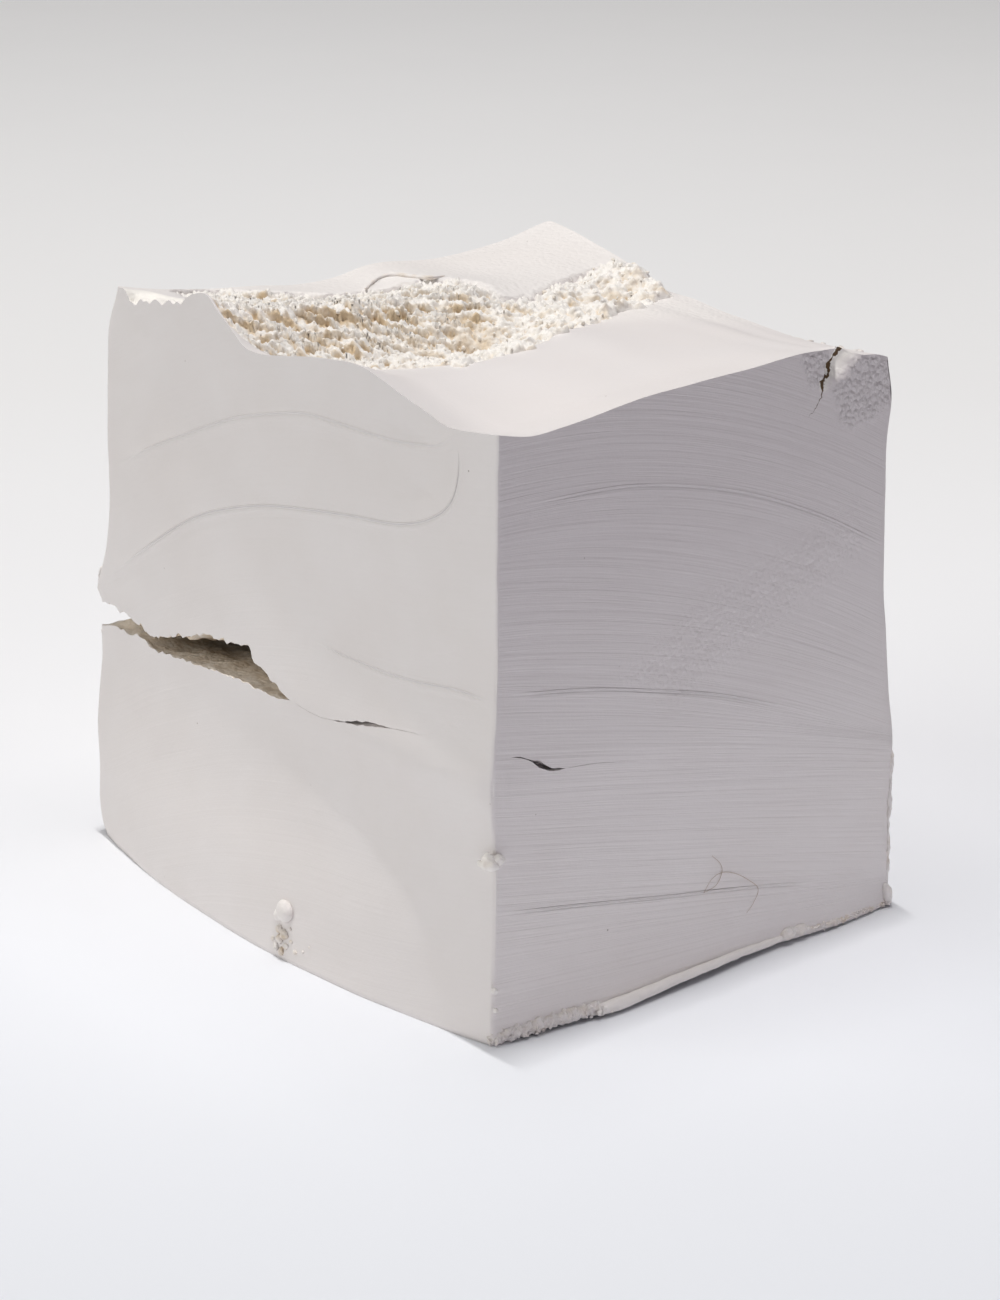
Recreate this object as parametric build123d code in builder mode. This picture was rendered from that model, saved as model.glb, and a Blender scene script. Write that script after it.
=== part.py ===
"""Gymnastics chalk block: a small block cut by wire from a moist white cake, then left to dry.

Two lumps are pressed together at a tilted seam that gapes at one edge. A chunk is cracked away at one
top corner, and the crumbs, burrs and threads that the cutting left behind still cling to the block.

Frame: +Z up, origin on the surface that the block stands on, in the middle of its bounding box.
The open cleft is on the front (-Y) side and the lifted lower edge is on the right (+X) side.
"""
from build123d import *
import os
import random

# ---- driving dimensions, mm ---------------------------------------------------------------------
half_width = 31.0        # half of the size along X, at the foot
half_depth = 27.5        # half of the size along Y, at the foot
cake_height = 60.0       # height of the cake before its top is scooped out
bulge_level = 11.0       # height at which the squashed foot has lost half of its bulge
foot_bulge = 3.6         # how far the front face bows out at the floor
crown_bulge = 0.3        # how far it bows out at the top of the cake
seam_height = 17.0       # height of the seam in the middle of the block
seam_rise_x = 0.035      # rise of the seam per mm towards +X
seam_fall_y = 0.25       # fall of the seam per mm towards +Y
cleft_depth = 13.0       # how far the cleft runs in from the front face
lift_height = 1.3        # gap under the lifted part of the right lower edge
crack_width = 0.8        # opening of the crack beside the corner chunk, above the cake's top
chunk_inner_x = 17.0     # inner side of the corner chunk
lift_inner_x = 22.0      # how far under the block the lifted edge reaches, measured from the middle
lift_start_y = -11.0
lift_end_y = 12.0
front_lip_height = 1.4
crumpled_burr_height = 1.5
bead_radius = 0.75
bead_standoff = 0.15     # middle of the bead, out from the right face
rear_burr_x = 27.6
rear_burr_thickness = 1.0
speck_levels = [3.4, 5.2]
speck_size = (0.7, 0.7, 0.6)
button_x = 4.8
button_level = 4.4
button_radius = 1.3
button_thickness = 0.9
sunk_depth = 0.4         # how far the button pellet is drawn into the face before it is cut back
left_burr_front = 24.1   # distance of the ragged tips' front side from the middle plane
left_burr_depth = 1.4
crumb_columns = 7        # loose crumbs along the torn bed
crumb_rows = 4           # and across it
thread_radius = 0.35
thread_rise = 0.245      # middle of the thread, above the top
rim_flake_height = 0.8
rim_flake_thickness = 0.7
rim_flake_angle = 62     # slope of a flake's two ends, degrees
hair_radius = 0.06
hair_standoff = 0.18     # middle of the hair, out from the right face
hair_middle = (4.0, 7.0)
right_face_slope = 0.05  # how far the right face turns in per mm towards the back

random.seed(7)

# The larger lumps that cling to the block: place, size and turn.
folded_pellet_lump = [(30.1, 11.9, 0.9), (2.0, 4.6, 1.6), (0, 0, 4)]
corner_crumb_lump = [(28.7, 24.3, 2.9), (1.5, 1.6, 2.4), (8, -6, 30)]
edge_crumb_lump = [(30.83, -23.5, 16.8), (1.7, 1.5, 1.6), (10, 20, 15)]

# Corners of the cake, front left, front right, back right, back left, at three heights.
foot_corners = [(-30.6, -23.9), (30.8, -23.6), (28.4, 24.2), (-27.4, 27.5)]
waist_corners = [(-31.0, -23.9), (30.8, -23.4), (28.2, 24.1), (-27.4, 27.5)]
crown_corners = [(-26.6, -22.0), (30.9, -22.8), (27.3, 22.9), (-26.3, 27.5)]

# Height of the top edge, from left to right, along the front face and along the back face.
front_crest = [(-36, 53.0), (-27, 54.0), (-12, 56.5), (-5, 53.9), (8, 54.6), (23, 52.4), (36, 53.2)]
back_crest = [(-36, 53.8), (-26, 53.4), (-12, 51.8), (-1, 50.8), (8, 50.6), (22, 51.0), (36, 51.6)]

# Outline of the cleft on the front face, (x, z), and of its narrower inner end.
cleft_mouth = [(-36, 25.0), (-26.5, 24.3), (-12, 26.8), (-4, 27.2), (2.2, 24.2), (-3, 23.2), (-36, 22.4)]
cleft_end = [(-36, 21.0), (-26.5, 20.6), (-14, 21.2), (-8, 21.4), (-4, 20.8), (-9, 20.4), (-36, 20.0)]

# Outline of the corner chunk on the right face, (y, z). Its first side is the crack.
chunk_outline = [(11.5, 49.3), (19.0, 57.0), (30, 60), (30, 43.0), (20.0, 44.5)]

# Outlines of the smeared pieces at the foot of the right face, (x, y).
front_lip_outline = [
    (29.0, -23.4), (31.0, -23.5), (31.4, -21.5), (31.1, -19.5), (31.6, -16.5), (31.2, -14.5), (31.5, -12.6),
    (30.8, -11.5), (29.0, -11.5),
]
crumpled_burr_outline = [
    (27.5, 14.4), (29.8, 14.4), (29.4, 16.0), (29.9, 17.6), (29.2, 19.4), (29.6, 21.2), (28.9, 22.8),
    (27.5, 22.8),
]

# Middle line of the rolled bead, (y, z): it climbs with the lifted edge.
bead_line = [(-11.4, 0.9), (-1.5, 1.7), (9.7, 1.5)]

# Thin burr on the rear edge of the right face, (y, z).
rear_burr_outline = [
    (23.6, 4.6), (24.6, 5.4), (24.4, 8.0), (24.8, 10.5), (24.3, 12.5), (24.5, 14.5), (23.6, 15.5),
]

# Crumbs under the button pellet: x, z and size.
gouge_crumb_places = [(3.6, 2.6, 1.2), (4.6, 1.6, 1.5), (3.4, 1.0, 1.0), (6.2, 1.9, 0.8)]

# Ragged tips on both lips of the cleft at the left edge, (x, z).
left_burr_tips = [
    [(-30.0, 29.0), (-31.6, 26.6), (-31.0, 25.6), (-30.0, 26.0)],
    [(-30.2, 21.9), (-31.5, 21.6), (-31.6, 20.8), (-30.2, 18.4)],
]

# The torn bed of the top lies between these two lines, (x, y).
torn_front_line = [(-20, -17), (-3, -19.5), (9, -15.5), (7, 3), (2.5, 15), (0, 22)]
torn_back_line = [(-24, -12), (-20, -3), (-13, 5), (-9, 9), (-9, 15), (-12, 22)]

# Middle line of the thread on the back part of the top, (x, y).
thread_line = [(-20.0, 0.6), (-22.6, 4.4), (-18.6, 7.4)]

# Flakes on the rear rim of the top: middle x and length.
rim_flakes = [(8.0, 3.2), (13.6, 4.4), (19.6, 3.0)]
back_rim_start = crown_corners[3]
back_rim_slope = (crown_corners[2][1] - back_rim_start[1]) / (crown_corners[2][0] - back_rim_start[0])

# The hair's two strands in the plane of the right face, from its middle: right along Y, up along Z.
hair_strands = [
    [(-3.4, 0.3), (-0.8, 1.8), (2.6, -0.1)],
    [(-2.4, 3.6), (-0.9, 2.7), (-0.95, 2.0)],
]


def bowed_middle(start, end, bow):
    """Middle of the straight line from start to end, moved out by bow along -Y."""
    return ((start[0] + end[0]) / 2, (start[1] + end[1]) / 2 - bow)


def cake_outline(level, corners, bow):
    """Outline of the cake at one height. The front side is bowed out."""
    front_left, front_right, back_right, back_left = corners
    with BuildSketch(Plane.XY.offset(level)) as outline:
        with BuildLine():
            ThreePointArc(front_left, bowed_middle(front_left, front_right, bow), front_right)
            Line(front_right, back_right)
            Line(back_right, back_left)
            Line(back_left, front_left)
        make_face()
    return outline.sketch


def crest_profile(y, crest):
    """Everything above the crest line, drawn on the upright plane at y."""
    ceiling = cake_height + 10
    with BuildSketch(Plane.XZ.offset(-y)) as profile:
        with BuildLine():
            Spline(*crest)
            Polyline(crest[-1], (crest[-1][0], ceiling), (crest[0][0], ceiling), crest[0])
        make_face()
    return profile.sketch


def upright_polygon(y, points):
    """A closed polygon on the upright plane at y."""
    with BuildSketch(Plane.XZ.offset(-y)) as polygon:
        with BuildLine():
            Polyline(*points, close=True)
        make_face()
    return polygon.sketch


def top_height(solid, x, y):
    """Height of a solid's top above the point (x, y)."""
    hits = solid.find_intersection_points(Axis((x, y, 0), (0, 0, 1)))
    return max(point.Z for point, normal in hits)


def right_face_x(solid, y, z):
    """Where the right face of a solid is at (y, z)."""
    hits = solid.find_intersection_points(Axis((0, y, z), (1, 0, 0)))
    return max(point.X for point, normal in hits)


def front_face_y(solid, x, z):
    """Where the front face of a solid is at (x, z)."""
    hits = solid.find_intersection_points(Axis((x, 0, z), (0, 1, 0)))
    return min(point.Y for point, normal in hits)


def lump(place, size, turn=(0, 0, 0)):
    """A small faceted crumb of that size, turned and put in its place."""
    return Location(place, turn) * scale(unit_lump.part, by=size)


def along_line(points, fraction):
    """The point at a fraction of the way through a list of points."""
    position = fraction * (len(points) - 1)
    index = min(int(position), len(points) - 2)
    start = Vector(points[index])
    return start + (Vector(points[index + 1]) - start) * (position - index)


def torn_bed_point(along, across):
    """A point of the torn bed: along runs from left to back, across from its front line to its back line."""
    front = along_line(torn_front_line, along)
    place = front + (along_line(torn_back_line, along) - front) * across
    return place.X, place.Y


# A faceted crumb of unit size, widest at half its height, from which every crumb is made.
with BuildPart() as unit_lump:
    with BuildSketch():
        RegularPolygon(radius=0.5, side_count=6)
    extrude(amount=0.5, taper=24, both=True)

# ---- the cake before it is divided --------------------------------------------------------------
with BuildPart() as scoop:
    loft(sections=[
        crest_profile(-half_depth - 4, front_crest),
        crest_profile(half_depth + 4, back_crest),
    ])

with BuildPart() as cake:
    loft(sections=[
        cake_outline(0, foot_corners, foot_bulge),
        cake_outline(bulge_level, waist_corners, foot_bulge / 2),
        cake_outline(cake_height, crown_corners, crown_bulge),
    ])
    add(scoop.part, mode=Mode.SUBTRACT)

seam = Plane(origin=(0, 0, seam_height), z_dir=(-seam_rise_x, seam_fall_y, 1))

with BuildPart() as cleft:
    mouth_y = -half_depth - 4
    loft(sections=[
        upright_polygon(mouth_y, cleft_mouth),
        upright_polygon(mouth_y + 4 + cleft_depth, cleft_end),
    ], ruled=True)

# The chunk is the part of the cake inside this wedge, which opens towards the corner.
with BuildPart() as chunk_wedge:
    with BuildSketch(Plane.YZ.offset(chunk_inner_x)):
        with BuildLine():
            Polyline(*chunk_outline, close=True)
        make_face()
    extrude(amount=half_width)

# The crack opens from nothing at its foot to its full width above the cake.
with BuildPart() as crack:
    crack_foot, crack_head = chunk_outline[:2]
    with BuildSketch(Plane.YZ.offset(chunk_inner_x)):
        with BuildLine():
            Polyline(crack_foot, crack_head, (crack_head[0] + crack_width, crack_head[1]), close=True)
        make_face()
    extrude(amount=half_width)

# ---- lower_block: the lower lump, with the lifted edge on its right side --------------------------
with BuildPart() as lower_block:
    add(cake.part)
    split(bisect_by=seam, keep=Keep.BOTTOM)
    add(cleft.part, mode=Mode.SUBTRACT)
    with BuildSketch(Plane.YZ.offset(lift_inner_x)):
        with BuildLine():
            ThreePointArc((lift_start_y, 0), ((lift_start_y + lift_end_y) / 2, lift_height), (lift_end_y, 0))
            Line((lift_end_y, 0), (lift_start_y, 0))
        make_face()
    extrude(amount=half_width, mode=Mode.SUBTRACT)

# ---- corner_chunk ---------------------------------------------------------------------------------
with BuildPart() as corner_chunk:
    add(cake.part)
    add(chunk_wedge.part, mode=Mode.INTERSECT)
    add(crack.part, mode=Mode.SUBTRACT)

# ---- upper_block: the upper lump, with the scooped top --------------------------------------------
with BuildPart() as upper_block:
    add(cake.part)
    split(bisect_by=seam, keep=Keep.TOP)
    add(cleft.part, mode=Mode.SUBTRACT)
    add(chunk_wedge.part, mode=Mode.SUBTRACT)

# ---- bits along the foot of the right face --------------------------------------------------------
with BuildPart() as front_lip:
    with BuildSketch():
        with BuildLine():
            Polyline(*front_lip_outline, close=True)
        make_face()
    extrude(amount=front_lip_height)
    add(lower_block.part, mode=Mode.SUBTRACT)

bead_points = [
    (right_face_x(cake.part, y, z) + bead_standoff, y, z)
    for y, z in bead_line
]
with BuildPart() as rolled_bead:
    with BuildLine() as bead_path:
        ThreePointArc(*bead_points)
    with BuildSketch(Plane(origin=bead_path.line @ 0, z_dir=bead_path.line % 0)):
        Circle(bead_radius)
    sweep()
    add(lower_block.part, mode=Mode.SUBTRACT)

pellet = lump(*folded_pellet_lump)
with BuildPart() as folded_pellet:
    add(pellet)
    add(lower_block.part, mode=Mode.SUBTRACT)
    add(rolled_bead.part, mode=Mode.SUBTRACT)

with BuildPart() as crumpled_burr:
    with BuildSketch():
        with BuildLine():
            Polyline(*crumpled_burr_outline, close=True)
        make_face()
    extrude(amount=crumpled_burr_height)
    add(lower_block.part, mode=Mode.SUBTRACT)
    add(folded_pellet.part, mode=Mode.SUBTRACT)

crumb_at_corner = lump(*corner_crumb_lump)
with BuildPart() as corner_crumb:
    add(crumb_at_corner)
    add(lower_block.part, mode=Mode.SUBTRACT)

with BuildPart() as rear_edge_burr:
    with BuildSketch(Plane.YZ.offset(rear_burr_x)):
        with BuildLine():
            Polyline(*rear_burr_outline, close=True)
        make_face()
    extrude(amount=rear_burr_thickness)
    add(cake.part, mode=Mode.SUBTRACT)

# ---- bits on the front edge and the front face ----------------------------------------------------
crumb_on_edge = lump(*edge_crumb_lump)
with BuildPart() as edge_crumb:
    add(crumb_on_edge)
    add(cake.part, mode=Mode.SUBTRACT)

edge_x, edge_y, edge_level = edge_crumb_lump[0]
speck_lumps = [lump((edge_x, edge_y, level), speck_size) for level in speck_levels]
with BuildPart() as edge_specks:
    add(speck_lumps)
    add(cake.part, mode=Mode.SUBTRACT)

button_y = front_face_y(cake.part, button_x, button_level) + sunk_depth
with BuildPart() as button_pellet:
    with BuildSketch(Plane(origin=(button_x, button_y, button_level), z_dir=(0, -1, 0))):
        Circle(button_radius)
    extrude(amount=button_thickness + sunk_depth, taper=20)
    add(cake.part, mode=Mode.SUBTRACT)

gouge_lumps = [
    lump((x, front_face_y(cake.part, x, z) + 0.1, z), (size, size, size), (20, 0, 10))
    for x, z, size in gouge_crumb_places
]
with BuildPart() as gouge_crumbs:
    add(gouge_lumps)
    add(cake.part, mode=Mode.SUBTRACT)

with BuildPart() as left_edge_burr:
    for tip in left_burr_tips:
        with BuildSketch(Plane.XZ.offset(left_burr_front)):
            with BuildLine():
                Polyline(*tip, close=True)
            make_face()
        extrude(amount=-left_burr_depth)
    add(cake.part, mode=Mode.SUBTRACT)

# ---- bits on the top ------------------------------------------------------------------------------
top_lumps = []
for column in range(crumb_columns):
    for row in range(crumb_rows):
        along = (column + random.uniform(0.2, 0.8)) / crumb_columns
        across = (row + random.uniform(0.2, 0.8)) / crumb_rows
        x, y = torn_bed_point(along, across)
        size = random.uniform(1.0, 2.2)
        place = (x, y, top_height(cake.part, x, y) + 0.15 * size)
        top_lumps.append(lump(place, (size, 0.8 * size, 0.9 * size), (0, 0, random.uniform(0, 60))))
with BuildPart() as top_crumbs:
    add(top_lumps)
    add(cake.part, mode=Mode.SUBTRACT)

thread_points = [(x, y, top_height(cake.part, x, y) + thread_rise) for x, y in thread_line]
with BuildPart() as clay_thread:
    with BuildLine() as thread_path:
        ThreePointArc(*thread_points)
    with BuildSketch(Plane(origin=thread_path.line @ 0, z_dir=thread_path.line % 0)):
        Circle(thread_radius)
    sweep()
    add(upper_block.part, mode=Mode.SUBTRACT)

with BuildPart() as rim_burr:
    for x, length in rim_flakes:
        y = back_rim_start[1] + back_rim_slope * (x - back_rim_start[0])
        level = top_height(cake.part, x, y - rim_flake_thickness)
        rim_plane = Plane(origin=(x, y, level), x_dir=(1, back_rim_slope, 0), z_dir=(-back_rim_slope, 1, 0))
        with BuildSketch(rim_plane):
            Trapezoid(length, 2 * rim_flake_height, rim_flake_angle)
        extrude(amount=-rim_flake_thickness)
    add(cake.part, mode=Mode.SUBTRACT)

# ---- the hair on the right face -------------------------------------------------------------------
hair_y, hair_z = hair_middle
hair_x = right_face_x(cake.part, hair_y, hair_z) + hair_standoff
hair_plane = Plane(
    origin=(hair_x, hair_y, hair_z),
    x_dir=(-right_face_slope, 1, 0),
    z_dir=(1, right_face_slope, 0),
)
with BuildPart() as stray_hair:
    for strand in hair_strands:
        with BuildLine(hair_plane) as hair_path:
            ThreePointArc(*strand)
        with BuildSketch(Plane(origin=hair_path.line @ 0, z_dir=hair_path.line % 0)):
            Circle(hair_radius)
        sweep()
    add(cake.part, mode=Mode.SUBTRACT)

# ---- write every piece to its own file ------------------------------------------------------------
pieces = {
    "lower_block": lower_block,
    "upper_block": upper_block,
    "corner_chunk": corner_chunk,
    "front_lip": front_lip,
    "rolled_bead": rolled_bead,
    "folded_pellet": folded_pellet,
    "crumpled_burr": crumpled_burr,
    "corner_crumb": corner_crumb,
    "rear_edge_burr": rear_edge_burr,
    "edge_crumb": edge_crumb,
    "edge_specks": edge_specks,
    "button_pellet": button_pellet,
    "gouge_crumbs": gouge_crumbs,
    "left_edge_burr": left_edge_burr,
    "top_crumbs": top_crumbs,
    "clay_thread": clay_thread,
    "rim_burr": rim_burr,
    "stray_hair": stray_hair,
}

os.makedirs("parts", exist_ok=True)
for name, piece in pieces.items():
    piece.part.label = name
    export_step(piece.part, f"parts/{name}.step")
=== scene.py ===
"""Looks of the gymnastics chalk block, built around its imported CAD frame.

Shapes are worked out in millimetres, in the frame of the CAD model, and become metres in make_piece().
The left face of the picture is the block's front (-Y) side, the right face its right (+X) side.
"""
import math
from itertools import product

import bmesh
import bpy
import numpy as np
from mathutils import Euler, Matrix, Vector


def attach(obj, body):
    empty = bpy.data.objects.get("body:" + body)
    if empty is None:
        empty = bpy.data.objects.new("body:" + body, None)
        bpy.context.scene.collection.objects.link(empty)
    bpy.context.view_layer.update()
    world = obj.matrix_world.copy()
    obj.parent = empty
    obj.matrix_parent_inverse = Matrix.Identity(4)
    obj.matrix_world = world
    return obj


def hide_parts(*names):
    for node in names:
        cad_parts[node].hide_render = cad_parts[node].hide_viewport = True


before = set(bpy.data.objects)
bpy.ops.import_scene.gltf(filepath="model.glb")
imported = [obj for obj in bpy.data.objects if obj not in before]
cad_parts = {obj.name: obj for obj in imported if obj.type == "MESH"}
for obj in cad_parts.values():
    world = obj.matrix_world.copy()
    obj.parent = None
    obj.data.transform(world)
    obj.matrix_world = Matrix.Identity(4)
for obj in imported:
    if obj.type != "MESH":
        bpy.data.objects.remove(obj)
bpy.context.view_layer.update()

MM = 0.001
SEED = 11
# Nominal width and depth, mm, that turn shares of a side into distances, and levels that stand for the top
# and the seam where a place in plan is looked up.
WIDTH = 60
DEPTH = 50
TOP_LEVEL = 53.0
SEAM_LEVEL = 21.0

# ---- driving lines of the block, mm ----
# Plan position of the four upright edges: height to x, height to y.
FRONT_LEFT_X = [
    (0, -29.9), (0.9, -30.6), (3.2, -31.2), (7.3, -31.1), (11.3, -31.4), (14.4, -31.1), (18.7, -30.4),
    (21.2, -30.2), (23, -29.9), (25.4, -30.9), (26.6, -30.3), (31.8, -28.9), (38.6, -29), (45.2, -29.1),
    (50, -28.8), (54, -27.3), (58, -26.4),
]
FRONT_LEFT_Y = [(0, -23.9), (26, -23.4), (58, -22.2)]
FRONT_RIGHT_X = [(0, 30.6), (20, 30.6), (23, 30.9), (26, 30.75), (40, 30.9), (58, 30.9)]
FRONT_RIGHT_Y = [(0, -23.2), (20, -23.1), (23, -23.5), (26, -23.2), (40, -22.9), (58, -22.8)]
BACK_RIGHT_X = [(0, 28.4), (30, 28), (58, 27.4)]
BACK_RIGHT_Y = [
    (0, 24.1), (5.3, 24.3), (10.2, 24.2), (16, 24.4), (20, 23.8), (24.8, 23.3), (33.3, 22.9), (38.9, 22.8),
    (44.4, 22.9), (47.9, 23.4), (51.6, 22.7), (58, 22.2),
]
BACK_LEFT_X = [(0, -27.6), (12, -28.3), (30, -27.7), (46, -27.9), (58, -26.2)]
BACK_LEFT_Y = [(0, 27), (10, 27.6), (26, 27.1), (40, 27.4), (58, 27.6)]

# How far the faces bow out from the straight lines between the edges.
FRONT_BOW = [(0, 3.7), (6, 2.9), (12, 1.8), (20, 0.9), (30, 0.4), (58, 0.2)]
BACK_BOW = [(0, 1.2), (10, 0.7), (30, -0.3), (58, 0.2)]
LEFT_BOW = [(0, 1), (12, 0.8), (30, -0.4), (58, 0.1)]
# The foot of the right face flares out: how far at each y, fading upwards over FLARE_HEIGHT.
RIGHT_FLARE = [
    (-23.5, 0), (-20, 0.6), (-15.5, 1.2), (-12, 1.9), (-6, 1.7), (1.5, 1.2), (6.5, 0.7), (12, 0.7),
    (17, 0.7), (24, 0.1),
]
FLARE_HEIGHT = 2.4
# The same edge is lifted off the floor: how high at each y.
FOOT_LIFT = [
    (-23.5, 0.05), (-21, 0.4), (-14, 0.45), (-11, 0.5), (-6, 0.65), (1, 0.7), (7, 0.55), (12, 0.4),
    (24, 0.2),
]
LIFT_REACH = 6.0
# Upright edges: shares u and v of each one, and its radius.
EDGE_RADII = [(1, 0, 0.32), (0, 0, 0.45), (1, 1, 0.6), (0, 1, 0.6)]
# Dents in the edges: height and depth.
EDGE_DENTS = [(23, 0.55), (19.5, 0.2)]

# Height of the top's rim.
FRONT_RIM = [
    (-27.3, 54.2), (-20, 54.9), (-15, 55.9), (-12.2, 56.4), (-10, 55.2), (-8, 54.2), (-5.5, 53),
    (-3.6, 52.8), (-0.3, 53.2), (3.4, 53.9), (7.2, 54.5), (12.5, 54.8), (15.2, 54.2), (17.7, 53.6),
    (20.6, 53), (24.4, 52.2), (27.5, 52.5), (30.9, 53),
]
BACK_RIM = [
    (-26.3, 53.9), (-23.5, 53.8), (-17.6, 53), (-12.5, 52.2), (-6.8, 50.9), (-1.3, 50.8), (5.7, 50.5),
    (16.8, 50.6), (21, 50.9), (27.4, 51.5),
]
LEFT_RIM = [
    (-22.2, 54.2), (-17.7, 53.3), (-12.8, 52.6), (-6.7, 52), (-2.2, 51.5), (2.4, 51.6), (5.3, 52.2),
    (14.3, 51.8), (21.6, 52.6), (27.6, 53.9),
]
RIGHT_RIM = [
    (-22.8, 53), (-19.8, 52.4), (-16, 52.6), (-11.7, 53), (-7.3, 53.4), (4.1, 53.6), (13.7, 53.7),
    (17.3, 53.3), (18.8, 52.6), (21, 52.2), (22.9, 51.5),
]
# Depth of the chips broken out of the front rim at its left end.
RIM_CHIPS = [
    (-27.3, 0), (-26.2, 0.1), (-25.2, 1), (-24.1, 1.6), (-22.5, 1.2), (-20.7, 0.8), (-18.9, 0.9),
    (-16.9, 1.3), (-15.8, 0.8), (-14.8, 0.1), (-13, 0),
]

# The seam between the two lumps: height along each side. On the front, the cleft has two lips.
SEAM_FRONT_UPPER = [
    (-31, 23.7), (-28, 23.8), (-24.8, 23.1), (-21.3, 22.9), (-17.2, 23.7), (-13.6, 24.7), (-10.3, 25.4),
    (-7.8, 25.8), (-3.8, 26.1), (-3, 25.1), (-0.3, 24.3), (0.8, 23.6), (2.4, 23.2),
]
SEAM_FRONT_LOWER = [
    (-31, 21.2), (-28.9, 21.8), (-24.5, 22.3), (-22.9, 22.4), (-21.4, 21.7), (-19.8, 21.5), (-15.1, 22.1),
    (-9.8, 22.5), (-4.6, 22.8), (-2, 22.7), (0.4, 22.8), (2.4, 23.2),
]
SEAM_FRONT_CLOSED = [
    (2.4, 23.2), (5.3, 22.9), (7.1, 22.9), (9.8, 23.3), (14.5, 24.3), (20.5, 25.2), (31, 25.5),
]
SEAM_RIGHT = [
    (-23.3, 25.5), (-20.4, 25.3), (-18.1, 24.2), (-16.7, 23.4), (-15.6, 23.2), (-11.7, 22.7), (-8.1, 21.9),
    (-3.5, 20.6), (2.6, 18.9), (12, 16.6), (24.5, 13.8),
]
SEAM_LEFT = [(-23.8, 22.5), (-12, 20), (4, 16.2), (27.5, 10.6)]
SEAM_BACK = [(-28, 10.6), (-6, 12.4), (28.2, 13.8)]
# Opening of the seam away from the cleft.
GAP_FRONT = [
    (4, 0.03), (9, 0.03), (9.6, 0.12), (10.6, 0.05), (11.2, 0.3), (14.5, 0.36), (16.2, 0.16), (17, 0.03),
    (20.5, 0.02), (21.5, 0),
]
GAP_RIGHT = [
    (-21.2, 0), (-20.2, 0.12), (-18.9, 0.2), (-18.2, 0.45), (-16.8, 0.5), (-16, 0.2), (-15.2, 0.04),
    (-6, 0),
]
GAP_LEFT = [(-23.8, 2.4), (-20, 2.3), (-14, 1.2), (-9, 0.3), (-5, 0.05), (0, 0.02), (27, 0.02)]
# How far into the block the cleft and the fine crack reach.
CLEFT_REACH = 14.0
CRACK_REACH = 2.5

# Outline of the torn bed on the top, (x, y).
TORN_OUTLINE = [
    (-14, -24.5), (-8, -24.5), (-5.2, -21.6), (-0.6, -19.6), (2.4, -17.8), (6.4, -13.4), (8, -11),
    (9.8, -10.4), (9.2, -5.5), (5.8, 4), (-0.5, 15.5), (-5.5, 28.5), (-14.5, 28.5), (-14.2, 21.5),
    (-12.3, 15.7), (-10, 9.8), (-16, 9.6), (-18.1, 7), (-20.6, 1.3), (-21, -3.2), (-25, -8), (-29, -11.5),
    (-29, -17), (-20, -19.5),
]
TORN_DEPTH = 4.0
# The round pit in it.
PIT = (-4.6, 1.6)
# Directions in plan: towards the viewer, and along the bed.
TOWARDS = np.array([0.8, -0.6])
ALONG = np.array([0.6, 0.8])

# ---- noise and lines ----
_random = np.random.default_rng(SEED)
_shuffle = _random.permutation(256)
_gradients = _random.normal(size=(256, 3))
_gradients /= np.linalg.norm(_gradients, axis=1)[:, None]
_centres = _random.random((256, 2))


def noise(points, size, seed=0):
    """Smooth noise, about -1 to 1, with features of that size, at (n, 3) points."""
    place = points / size + 31.7 * seed + 5.3
    cell = np.floor(place).astype(int)
    part = place - cell
    fade = part ** 3 * (part * (part * 6 - 15) + 10)
    total = np.zeros(len(points))
    for step in product((0, 1), repeat=3):
        row = _shuffle[(cell[:, 0] + step[0]) & 255]
        row = _shuffle[(row + cell[:, 1] + step[1]) & 255]
        row = _shuffle[(row + cell[:, 2] + step[2]) & 255]
        weight = np.where(np.array(step), fade, 1 - fade).prod(axis=1)
        total += weight * (_gradients[row] * (part - step)).sum(axis=1)
    return 1.7 * total


def fractal(points, size, octaves=3, seed=0):
    """Noise with finer and weaker noise added to it."""
    return sum(noise(points, size / 2 ** k, seed + k) / 2 ** k for k in range(octaves))


def tufts(points, size, seed=0):
    """Rounded grains packed side by side, at (n, 2) points: 1 at the middle of a grain, 0 between grains."""
    place = points / size + 17.1 * seed
    cell = np.floor(place).astype(int)
    nearest = np.full(len(points), 9.0)
    for step in product((-1, 0, 1), repeat=2):
        near = cell + step
        row = _shuffle[(_shuffle[near[:, 0] & 255] + near[:, 1] + seed) & 255]
        offset = near + _centres[row] - place
        nearest = np.minimum(nearest, (offset ** 2).sum(axis=1))
    return np.clip(1 - np.sqrt(nearest), 0, 1)


def smooth_line(points):
    """A smooth function through the (position, value) points, flat beyond both ends."""
    at, value = np.array(points, float).T
    slope = np.gradient(value, at)

    def line(position):
        position = np.clip(position, at[0], at[-1])
        i = np.clip(np.searchsorted(at, position, side="right") - 1, 0, len(at) - 2)
        width = at[i + 1] - at[i]
        s = (position - at[i]) / width
        start = (1 + 2 * s) * (1 - s) ** 2 * value[i] + s * (1 - s) ** 2 * width * slope[i]
        end = s * s * (3 - 2 * s) * value[i + 1] + s * s * (s - 1) * width * slope[i + 1]
        return start + end

    return line


def straight_line(points):
    """The same with straight pieces."""
    at, value = np.array(points, float).T
    return lambda position: np.interp(position, at, value)


def smoothstep(low, high, value):
    """0 below low, 1 above high, and a smooth rise between them."""
    s = np.clip((value - low) / (high - low), 0, 1)
    return s * s * (3 - 2 * s)


def mix(a, b, share):
    """a where share is 0, b where it is 1."""
    return a + (b - a) * share


def flat_points(a, b):
    """Positions on a flat face as (n, 3) points."""
    return np.column_stack([a, b, 0 * a])


def grid_quads(number):
    """The square faces of a grid of numbered points."""
    return np.stack([number[:-1, :-1], number[1:, :-1], number[1:, 1:], number[:-1, 1:]], -1).reshape(-1, 4)


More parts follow.
